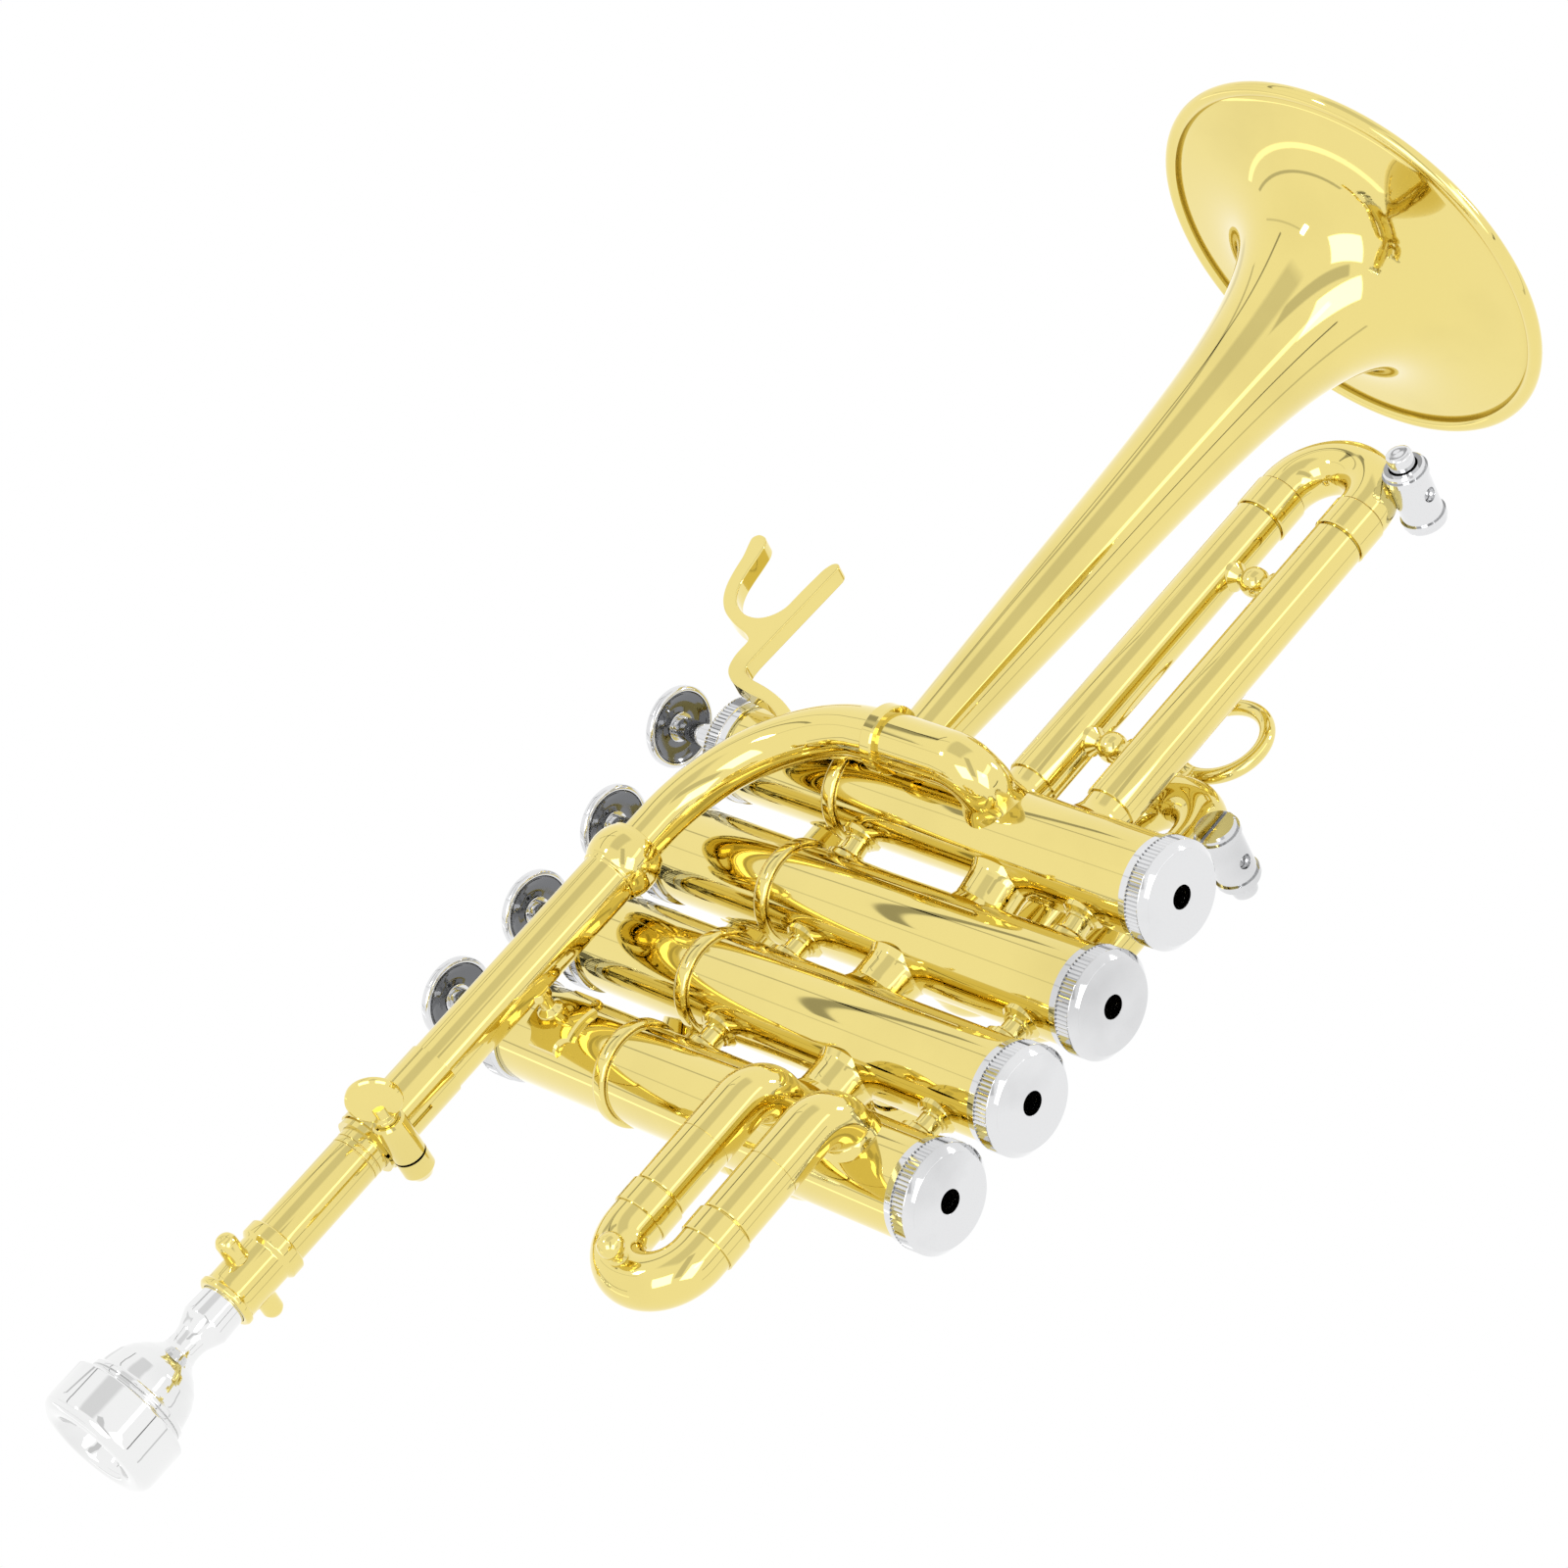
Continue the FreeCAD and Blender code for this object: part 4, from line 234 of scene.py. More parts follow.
def fleece_group() -> bpy.types.NodeTree:
    """Height of pressed felt fibres.

    Returns:
        The group's tree.
    """
    tree, taken, given = open_group(
        "fleece", [("Depth", "NodeSocketFloat", 1.0)], [("Height", "NodeSocketFloat")])
    fibre = noise(tree, 1400.0, 5.0, 0.7).outputs["Fac"]
    tree.links.new(maths(tree, "MULTIPLY", fibre, taken.outputs["Depth"]), given.inputs["Height"])
    return tree


class Groups:
    """The shared node groups, made once."""

    def __init__(self) -> None:
        """Make every group."""
        self.handling = handling_group()
        self.hairlines = hairline_group()
        self.tarnish_and_shade = tarnish_and_shade_group()
        self.fleece = fleece_group()


FLEECE_RELIEF = 0.9
FLEECE_DEPTH = 0.15
SCRATCH_DEPTH = 0.02
COAT_ROUGHNESS = 0.04


@dataclass(frozen=True)
class Finish:
    """A surface finish and the record's material slot that it stands for."""

    name: str
    slot: str
    colour: Spot
    # The darker colour, used as painted shade in corners and creases and as tarnish in random patches.
    shade: Spot
    roughness: float
    spread: float
    metallic: float = 1.0
    coat: float = 0.0
    # How strongly the shade colour goes in: painted shade in corners and creases, and tarnish in random
    # patches.
    tarnish_and_shade: float = 0.3
    scratch: float = 0.02
    fibre: bool = False

    def material(self, groups: Groups) -> bpy.types.Material:
        """Build the material.

        Args:
            groups: the shared node groups.

        Returns:
            The material with its procedural detail.
        """
        made = bpy.data.materials.new(self.name)
        made.use_nodes = True
        tree = made.node_tree
        shader = tree.nodes["Principled BSDF"]
        shader.inputs["Metallic"].default_value = self.metallic
        shader.inputs["Coat Weight"].default_value = self.coat
        shader.inputs["Coat Roughness"].default_value = COAT_ROUGHNESS
        rough = self._use(tree, groups.handling, {"Base": self.roughness, "Spread": self.spread})
        tree.links.new(rough.outputs["Roughness"], shader.inputs["Roughness"])
        mask = self._use(tree, groups.tarnish_and_shade, {"Amount": self.tarnish_and_shade})
        # Mix in the shade colour by the mask: painted shade in corners and creases, tarnish in random
        # patches.
        mix = tree.nodes.new("ShaderNodeMix")
        mix.data_type = "RGBA"
        mix.inputs[6].default_value = (*self.colour, 1.0)
        mix.inputs[7].default_value = (*self.shade, 1.0)
        tree.links.new(mask.outputs["Mask"], mix.inputs[0])
        tree.links.new(mix.outputs[2], shader.inputs["Base Color"])
        source = groups.fleece if self.fibre else groups.hairlines
        height = self._use(tree, source, {"Depth": 1.0})
        bump = tree.nodes.new("ShaderNodeBump")
        bump.inputs["Strength"].default_value = FLEECE_RELIEF if self.fibre else self.scratch
        bump.inputs["Distance"].default_value = (FLEECE_DEPTH if self.fibre else SCRATCH_DEPTH) * MM
        tree.links.new(height.outputs["Height"], bump.inputs["Height"])
        tree.links.new(bump.outputs["Normal"], shader.inputs["Normal"])
        return made

    @staticmethod
    def _use(tree: bpy.types.NodeTree, group: bpy.types.NodeTree, values: dict) -> object:
        """Place a group node with its input values.

        Args:
            tree: the node tree.
            group: the group to place.
            values: a number for each of its inputs.

        Returns:
            The group node.
        """
        node = tree.nodes.new("ShaderNodeGroup")
        node.node_tree = group
        for label, number in values.items():
            node.inputs[label].default_value = number
        return node


# Each finish's second colour is painted shade in corners and creases, mixed with tarnish in patches.
BRASS = Finish("lacquered_brass", "lacquered_brass", (0.76, 0.635, 0.222), (0.32, 0.235, 0.05),
               0.03, 0.018, coat=0.15, tarnish_and_shade=0.4)
# Nickel's dark shade colour and high amount darken the knurl flutes and corners: painted shade.
NICKEL = Finish("nickel_plate", "nickel_plate", (0.70, 0.703, 0.71), (0.07, 0.07, 0.075),
                0.05, 0.03, tarnish_and_shade=0.85)
# Dark nickel for the button undersides: painted shade under the buttons.
UNDERSIDE_SHADE = Finish("nickel_underside_shade", "nickel_plate", (0.16, 0.163, 0.17), (0.02, 0.02, 0.02),
                0.07, 0.06, tarnish_and_shade=0.6, scratch=0.06)
SILVER = Finish("silver_plate", "silver_plate", (0.77, 0.772, 0.77), (0.16, 0.16, 0.16),
                0.02, 0.02, tarnish_and_shade=0.6)
STEEL = Finish("piston_metal", "piston_metal", (0.60, 0.60, 0.58), (0.25, 0.24, 0.22),
               0.22, 0.10, tarnish_and_shade=0.3, scratch=0.1)
# Near-black colour for the inside of the casings: painted shade in the deep, unlit bore.
BORE_SHADE = Finish("bore_painted_shade", "lacquered_brass", (0.035, 0.028, 0.018), (SOLID, 0.01, 0.01),
              0.45, 0.15, metallic=0.3, tarnish_and_shade=0.5, scratch=0.1)
FELT = Finish("felt", "felt", (0.83, 0.82, 0.76), (0.45, 0.43, 0.38), 0.9, 0.05, metallic=0.0,
              tarnish_and_shade=0.4, fibre=True)
FINISHES = (BRASS, NICKEL, UNDERSIDE_SHADE, SILVER, STEEL, BORE_SHADE, FELT)


# Shapes


def rounded(points: list[Point], radius: float, steps: int = 4) -> list[Point]:
    """Replace each corner of a closed outline by a small arc.

    Args:
        points: the outline's corners.
        radius: the most that a corner is cut back along each side.
        steps: how many short edges each arc gets.

    Returns:
        The outline with soft corners.
    """
    out: list[Point] = []
    count = len(points)
    for i, here in enumerate(points):
        corner = Vector(here)
        before = Vector(points[i - 1]) - corner
        after = Vector(points[(i + 1) % count]) - corner
        cut = min(radius, before.length * 0.45, after.length * 0.45)
        start = corner + before.normalized() * cut
        end = corner + after.normalized() * cut
        for step in range(steps + 1):
            t = step / steps
            spot = start * (1 - t) ** 2 + corner * 2 * t * (1 - t) + end * t ** 2
            out.append((spot.x, spot.y))
    return out


def arc(centre: Spot, start: Vector, axis: Spot, degrees: float, steps: int = 40) -> list[Vector]:
    """Points on a circular arc.

    Args:
        centre: the arc's centre.
        start: the first point.
        axis: the direction that the arc turns about.
        degrees: how far it turns, by the right-hand rule.
        steps: how many pieces it gets.

    Returns:
        The points, with both ends.
    """
    middle = Vector(centre)
    arm = start - middle
    turned = []
    for step in range(steps + 1):
        spin = Quaternion(Vector(axis), math.radians(degrees * step / steps))
        turned.append(middle + spin @ arm)
    return turned


def length_of(path: list[Vector]) -> float:
    """Return the length of a line of points."""
    return sum((b - a).length for a, b in zip(path, path[1:]))


def bulge(radius: float, middle: Point, start: float, sweep: float, steps: int) -> list[Point]:
    """Points on a round stretch of an outline.

    Args:
        radius: how round it is.
        middle: the centre of the stretch.
        start: the angle of the first point.
        sweep: how far the stretch turns, in degrees.
        steps: how many pieces it gets.

    Returns:
        The points, with both ends.
    """
    spots = []
    for step in range(steps + 1):
        angle = math.radians(start + step * sweep / steps)
        spots.append((middle[0] + radius * math.cos(angle), middle[1] + radius * math.sin(angle)))
    return spots


def spline(poles: list[Point], count: int = 120) -> list[Point]:
    """A clamped cubic curve through the span of its control points.

    Args:
        poles: the control points.
        count: how many pieces the curve gets.

    Returns:
        The points, with both ends.
    """
    degree = 3
    spans = len(poles) - degree
    knots = [0.0] * degree + [i / spans for i in range(spans + 1)] + [1.0] * degree
    made = []
    for step in range(count + 1):
        t = min(step / count, 1 - 1e-9)
        k = max(i for i in range(degree, len(poles)) if knots[i] <= t)
        work = [Vector(poles[j + k - degree]) for j in range(degree + 1)]
        for level in range(1, degree + 1):
            for j in range(degree, level - 1, -1):
                low, high = knots[j + k - degree], knots[j + 1 + k - level]
                share = (t - low) / (high - low)
                work[j] = work[j - 1] * (1 - share) + work[j] * share
        made.append((work[degree].x, work[degree].y))
    return made


class Mesh:
    """Faces collected in millimetres, then made into one object."""

    def __init__(self) -> None:
        """Start with nothing."""
        self.spots: list[Vector] = []
        self.faces: list[tuple[int, ...]] = []

    def grid(self, rows: list[list[Vector]], closed: bool) -> None:
        """Skin between rings of points.

        Args:
            rows: rings of equal length.
            closed: whether the last ring joins the first.
        """
        base, width = len(self.spots), len(rows[0])
        for row in rows:
            self.spots.extend(row)
        last = len(rows) if closed else len(rows) - 1
        for i in range(last):
            j = (i + 1) % len(rows)
            for k in range(width):
                n = (k + 1) % width
                self.faces.append((base + i * width + k, base + i * width + n,
                                   base + j * width + n, base + j * width + k))

    def turn(self, outline: list[Point], at: Spot, axis: Axis, sides: int = 96,
             soft: float = 0.25, wave: tuple[float, float, float, int, float] | None = None) -> None:
        """Turn an outline of (radius, height) about an axis.

        Args:
            outline: a closed outline.
            at: where the axis starts.
            axis: the direction of heights.
            sides: how many steps the turn has.
            soft: corner rounding.
            wave: lowest height, highest height, depth, count and least radius of the grip's flutes.
        """
        shape = rounded(outline, soft, 3) if soft else outline
        rows = []
        for radius, height in shape:
            row = []
            for k in range(sides):
                angle = 2 * math.pi * k / sides
                size = radius
                if wave and wave[0] <= height <= wave[1] and radius > wave[4]:
                    dip = abs(((k * wave[3] / sides) % 1.0) - 0.5) * 2
                    size -= wave[2] * dip
                row.append(self._place(size * math.cos(angle), size * math.sin(angle), height, at, axis))
            rows.append(row)
        self.grid(rows, True)

    @staticmethod
    def _place(u: float, v: float, height: float, at: Spot, axis: Axis) -> Vector:
        """Put a turned point in the row frame.

        Args:
            u: the first distance off the axis.
            v: the second distance off the axis.
            height: the distance along the axis.
            at: where the axis starts.
            axis: the direction of heights.

        Returns:
            The point in the object's own space.
        """
        if axis is Axis.Z:
            return Vector((at[0] + u, at[1] + v, at[2] + height))
        if axis is Axis.X:
            return Vector((at[0] + height, at[1] + u, at[2] + v))
        return Vector((at[0] + v, at[1] + height, at[2] + u))

    def tube(self, path: list[Vector], outer: list[Point], bore: float, sides: int = 56) -> None:
        """Sweep a hollow round tube.

        Args:
            path: the centre line.
            outer: distance and radius pairs of the outside, with steps as equal distances.
            bore: the radius of the inside.
            sides: how many sides the section has.
        """
        lengths = [0.0]
        for a, b in zip(path, path[1:]):
            lengths.append(lengths[-1] + (b - a).length)
        total = lengths[-1]
        stops: list[Point] = []
        known = [(max(0.0, min(total, s)), r) for s, r in outer]
        for (s0, r0), (s1, r1) in zip(known, known[1:]):
            stops.append((s0, r0))
            for s in lengths:
                if s0 + 1e-6 < s < s1 - 1e-6:
                    stops.append((s, r0 + (r1 - r0) * (s - s0) / (s1 - s0)))
        stops.append(known[-1])
        inner = [(s, bore) for s in [0.0] + [x for x in lengths if 0 < x < total] + [total]]
        frames = self._frames(path)
        rows = [self._section(frames, lengths, path, s, r, sides) for s, r in stops + inner[::-1]]
        self.grid(rows, True)

    @staticmethod
    def _frames(path: list[Vector]) -> list[tuple[Vector, Vector]]:
        """Carry two side directions along the path without twist.

        Args:
            path: the centre line.

        Returns:
            Two side directions for each point.
        """
        tangents = []
        for i in range(len(path)):
            a, b = path[max(i - 1, 0)], path[min(i + 1, len(path) - 1)]
            tangents.append((b - a).normalized())
        side = tangents[0].orthogonal().normalized()
        frames = []
        for i, tangent in enumerate(tangents):
            if i:
                turn = tangents[i - 1].rotation_difference(tangent)
                side = (turn @ side).normalized()
            side = (side - tangent * side.dot(tangent)).normalized()
            frames.append((side, tangent.cross(side).normalized()))
        return frames

    @staticmethod
    def _section(frames: list, lengths: list[float], path: list[Vector], distance: float,
                 radius: float, sides: int) -> list[Vector]:
        """One ring of points at a distance along the path.

        Args:
            frames: the side directions at each point.
            lengths: how far each point is along the line.
            path: the centre line.
            distance: where the ring is.
            radius: the ring's radius.
            sides: how many points it has.

        Returns:
            The ring.
        """
        i = 0
        while i < len(lengths) - 2 and lengths[i + 1] < distance - 1e-9:
            i += 1
        gap = lengths[i + 1] - lengths[i]
        share = 0.0 if gap == 0 else (distance - lengths[i]) / gap
        centre = path[i].lerp(path[i + 1], share)
        u = frames[i][0].lerp(frames[i + 1][0], share).normalized()
        v = frames[i][1].lerp(frames[i + 1][1], share).normalized()
        return [centre + (u * math.cos(2 * math.pi * k / sides)
                          + v * math.sin(2 * math.pi * k / sides)) * radius for k in range(sides)]

    def object(self, name: str, angle: float = 32.0) -> bpy.types.Object:
        """Make the object, smooth but for its sharp edges.

        Args:
            name: the object's name.
            angle: edges above this many degrees stay sharp.

        Returns:
            The new object, linked to the scene.
        """
        data = bpy.data.meshes.new(name)
        data.from_pydata([tuple(s * MM) for s in self.spots], [], self.faces)
        work = bmesh.new()
        work.from_mesh(data)
        bmesh.ops.remove_doubles(work, verts=work.verts, dist=1e-7)
        bmesh.ops.recalc_face_normals(work, faces=work.faces)
        work.to_mesh(data)
        work.free()
        data.shade_smooth()
        data.set_sharp_from_angle(angle=math.radians(angle))
        made = bpy.data.objects.new(name, data)
        bpy.context.scene.collection.objects.link(made)
        return made


class Workshop:
    """Makes objects, gives them their finish and says what they ride on."""

    def __init__(self) -> None:
        """Make the materials that all pieces share."""
        groups = Groups()
        self.materials = {f.name: f.material(groups) for f in FINISHES}

    def finish(self, piece: bpy.types.Object, look: Finish, body: str, nodes: tuple[str, ...]) -> None:
        """Dress a piece, hang it on its body and hide the CAD nodes that it stands for.

        Args:
            piece: the object.
            look: its finish.
            body: the body that it rides on.
            nodes: the CAD nodes that it stands for.
        """
        piece.data.materials.clear()
        piece.data.materials.append(self.materials[look.name])
        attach(piece, body)
        if nodes:
            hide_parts(*nodes)
        log.info("%s rides on %s", piece.name, body)

    def add(self, mesh: Mesh, name: str, look: Finish, body: str, *nodes: str) -> bpy.types.Object:
        """Make and dress an object from collected faces, hang it on its body and hide the CAD nodes that
        it stands for.

        Args:
            mesh: the collected faces.
            name: the object's name.
            look: its finish.
            body: the body that it rides on.
            nodes: the CAD nodes that it stands for.

        Returns:
            The new object.
        """
        piece = mesh.object(name)
        self.finish(piece, look, body, nodes)
        return piece

    def line(self, piece: bpy.types.Object, look: Finish, at: Spot, radius: float) -> None:
        """Give the inside of an upright turned piece a finish of its own.

        Args:
            piece: the object.
            look: the finish of its inside.
            at: a point on the upright axis.
            radius: faces nearer to the axis than this are inside.
        """
        piece.data.materials.append(self.materials[look.name])
        middle = Vector(at[:2]) * MM
        for face in piece.data.polygons:
            if (Vector(face.center[:2]) - middle).length < radius * MM:
                face.material_index = 1

    def dress(self, node: str, look: Finish) -> None:
        """Give a CAD node's own object a finish.

        Args:
            node: the node's name.
            look: the finish.
        """
        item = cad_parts[node]
        for slot in item.material_slots:
            slot.material = self.materials[look.name]


# Sub-assemblies


@dataclass(frozen=True)
class Coil:
    """A valve spring, from its guide up to the top of its piston's barrel."""

    low: float = 88.75
    high: float = 116.65
    wire: float = 0.5
    reach: float = 5.9
    turns: int = 8
    steps: int = 28
    pressed: float = 0.51


@dataclass
class ValveBlock:
    """Casings, caps, stems, buttons, felts, knuckles and spools."""

    axes: list[Point] = field(default_factory=lambda: [(0, 0), (25.8, 0), (51.6, 0), (76.911, -5.0)])
    coil: Coil = Coil()
    casing: float = 10.4
    bore: float = 8.7
    neck: float = 9.9
    foot: float = 2.0
    low_shoulder: float = 6.8
    shoulder: float = 119.0
    top: float = 122.0
    crown: float = 127.6
    band_low: float = 85.8
    band_high: float = 89.2
    band: float = 11.3
    cap: float = 11.25
    lip: float = 11.0
    flutes: int = 78
    flute_depth: float = 0.34
    vent: float = 2.5
    knuckle: float = 6.5
    spool_end: float = 4.4
    spool_waist: float = 2.6
    spool_collar: float = 3.1
    ports: tuple[float, ...] = (42.5, 51.0, 42.0)
    upper_spools: tuple[float, ...] = (78.0, 76.5, 80.7)
    lower_spools: tuple[float, ...] = (17.0, 16.0, 19.0)

    def build(self, shop: Workshop) -> None:
        """Build every valve and the pieces between them.

        Args:
            shop: the workshop.
        """
        for number, (x, y) in enumerate(self.axes, start=1):
            self._casing(shop, number, (x, y, 0.0))
            self._caps(shop, number, (x, y, 0.0))
            self._top(shop, number, (x, y, 0.0))
            shop.dress(f"piston_{number}", STEEL)
            self._spring(shop, number, (x, y, 0.0))
        shop.dress("valve_guides", STEEL)
        self._felts(shop)
        self._between(shop)

    def _casing(self, shop: Workshop, number: int, at: Spot) -> None:
        """One casing with its moulding; its inside is painted near-black as shade.

        Args:
            shop: the workshop.
            number: the valve's number.
            at: the foot of the valve's axis.
        """
        r = self.casing
        outline = [
            (self.bore, self.foot), (self.neck, self.foot), (self.neck, self.low_shoulder),
            (r, self.low_shoulder), (r, self.band_low - 0.5),
            (r - 0.3, self.band_low - 0.5), (r - 0.3, self.band_low), (self.band - 0.4, self.band_low),
            (self.band, self.band_low + 0.7), (self.band, self.band_high - 0.8),
            (self.band - 0.5, self.band_high), (r, self.band_high + 0.25), (r, self.shoulder),
            (self.neck, self.shoulder), (self.neck, self.top), (self.bore, self.top),
        ]
        mesh = Mesh()
        mesh.turn(outline, at, Axis.Z, 112, 0.3)
        piece = shop.add(mesh, f"casing_{number}", BRASS, Body.FIXED.value, f"valve_casing_{number}")
        # The casing's inside gets a near-black colour: painted shade in the bore.
        shop.line(piece, BORE_SHADE, at, self.bore + 0.05)

    def _caps(self, shop: Workshop, number: int, at: Spot) -> None:
        """The bottom and the top cap of a valve.

        Args:
            shop: the workshop.
            number: the valve's number.
            at: the foot of the valve's axis.
        """
        low = Mesh()
        outline = [
            (self.vent, 0.0), (9.75, 0.0), (self.cap, 1.45), (self.cap, 1.75), (self.cap, 4.75),
            (self.cap, 4.95), (self.lip, 5.05), (self.lip, 6.75), (10.0, 6.75), (10.0, 1.5),
            (self.vent, 1.5),
        ]
        wave = (1.62, 4.85, self.flute_depth, self.flutes, self.lip - 0.2)
        low.turn(outline, at, Axis.Z, self.flutes * 6, 0.12, wave)
        shop.add(low, f"lower_cap_{number}", NICKEL, Body.FIXED.value, f"bottom_cap_{number}")
        top = Mesh()
        outline = [
            (10.0, 119.05), (self.lip, 119.05), (self.lip, 120.9), (self.cap, 121.0),
            (self.cap, 121.2), (self.cap, 124.1), (self.cap, 124.35), (9.9, 125.35),
            (7.6, 126.1), (4.9, 126.5), (4.8, 127.3), (4.4, self.crown), (2.9, self.crown), (2.9, 122.4),
            (10.0, 122.4),
        ]
        wave = (121.1, 124.2, self.flute_depth, self.flutes, self.lip - 0.2)
        top.turn(outline, at, Axis.Z, self.flutes * 6, 0.12, wave)
        shop.add(top, f"upper_cap_{number}", NICKEL, Body.FIXED.value, f"top_cap_{number}")

    @staticmethod
    def _top(shop: Workshop, number: int, at: Spot) -> None:
        """The stem, the finger button and a dark dish under the button that is painted shade.

        Args:
            shop: the workshop.
            number: the valve's number.
            at: the foot of the valve's axis.
        """
        body = f"valve_{number}"
        stem = Mesh()
        outline = [(SOLID, 116.7), (1.9, 116.7), (1.9, 119.7), (2.5, 119.7), (2.5, 142.9), (SOLID, 142.9)]
        stem.turn(outline, at, Axis.Z, 48, 0.1)
        shop.add(stem, f"stem_{number}", NICKEL, body, f"valve_stem_{number}")
        button = Mesh()
        outline = [
            (SOLID, 143.0), (3.3, 142.9), (3.3, 144.15), (7.6, 144.2), (7.9, 142.6), (8.5, 142.55),
            (9.0, 143.1), (9.0, 144.25), (8.5, 144.75), (7.4, 144.8), (SOLID, 144.65),
        ]
        button.turn(outline, at, Axis.Z, 96, 0.25)
        shop.add(button, f"button_{number}", NICKEL, body, f"finger_button_{number}")
        # A dark dish filling the button's underside: painted shade under the button.
        underside_shade = Mesh()
        dish = [(2.6, 143.0), (3.2, 143.55), (4.4, 143.9), (5.8, 143.8), (7.0, 143.3), (7.75, 142.75),
                (7.75, 144.2), (2.6, 144.2)]
        underside_shade.turn(dish, at, Axis.Z, 96, 0.3)
        shop.add(underside_shade, f"button_underside_shade_{number}", UNDERSIDE_SHADE, body)

    def _spring(self, shop: Workshop, number: int, at: Spot) -> None:
        """The coil between a guide and the top of its piston's barrel.

        Args:
            shop: the workshop.
            number: the valve's number.
            at: the foot of the valve's axis.
        """
        coil = self.coil
        climb = coil.high - coil.low - 2 * coil.wire
        path = []
        for k in range(coil.turns * coil.steps + 1):
            angle = 2 * math.pi * k / coil.steps
            rise = max(0.0, min(1.0, (k / coil.steps - 1) / (coil.turns - 2)))
            path.append(Vector((at[0] + coil.reach * math.cos(angle), at[1] + coil.reach * math.sin(angle),
                                coil.low + coil.wire + climb * rise)))
        total = length_of(path)
        mesh = Mesh()
        mesh.tube(path, [(0.0, coil.wire), (total, coil.wire)], SOLID, 12)
        piece = shop.add(mesh, f"spring_{number}", STEEL, Body.FIXED.value, f"valve_spring_{number}")
        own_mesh(piece)

    def _felts(self, shop: Workshop) -> None:
        """The felt rings on and under the top caps.

        Args:
            shop: the workshop.
        """
        felts = Mesh()
        for x, y in self.axes:
            felts.turn([(2.9, 127.6), (4.3, 127.6), (4.35, 128.3), (4.25, 129.0), (2.9, 129.0)],
                       (x, y, 0.0), Axis.Z, 48, 0.3)
            felts.turn([(3.3, 120.1), (8.1, 120.1), (8.2, 121.2), (8.1, 122.3), (3.3, 122.3)],
                       (x, y, 0.0), Axis.Z, 56, 0.4)
        shop.add(felts, "felt_rings", FELT, Body.FIXED.value, "valve_felts")

    def _between(self, shop: Workshop) -> None:
        """The knuckles and the spools.

        Args:
            shop: the workshop.
        """
        knuckles, spools = Mesh(), Mesh()
        heights = zip(self.ports, self.upper_spools, self.lower_spools)
        for (a, b), (port, upper, lower) in zip(zip(self.axes, self.axes[1:]), heights):
            start, end = Vector((*a, 0.0)), Vector((*b, 0.0))
            along = (end - start).normalized()
            length = (end - start).length
            for level, mesh in ((port, knuckles), (upper, spools), (lower, spools)):
                lift = Vector((0, 0, level))
                path = [start + lift + along * (length * t / 40) for t in range(13, 28)]
                if mesh is knuckles:
                    span = (path[-1] - path[0]).length
                    outer = [(0.0, self.knuckle + 0.9), (span * 0.16, self.knuckle + 0.15),
                             (span * 0.3, self.knuckle), (span * 0.7, self.knuckle),
                             (span * 0.84, self.knuckle + 0.15), (span, self.knuckle + 0.9)]
                    mesh.tube(path, outer, 5.0)
                else:
                    self._spool(mesh, path)
        shop.add(knuckles, "knuckles", BRASS, Body.FIXED.value, "valve_knuckles")
        shop.add(spools, "spools", BRASS, Body.FIXED.value, "casing_spools")

    def _spool(self, mesh: Mesh, path: list[Vector]) -> None:
        """One turned spool along a path between two casings.

        Args:
            mesh: where the faces go.
            path: the line between the casings.
        """
        span = (path[-1] - path[0]).length
        half = span / 2
        steps = [(0.0, self.spool_end + 0.3), (half - 2.5, self.spool_end), (half - 1.9, 3.6),
                 (half - 1.9, self.spool_collar), (half - 1.3, self.spool_collar),
                 (half - 1.3, self.spool_waist),
                 (half + 1.3, self.spool_waist), (half + 1.3, self.spool_collar),
                 (half + 1.9, self.spool_collar), (half + 1.9, 3.6), (half + 2.5, self.spool_end),
                 (span, self.spool_end + 0.3)]
        mesh.tube(path, steps, SOLID, 40)


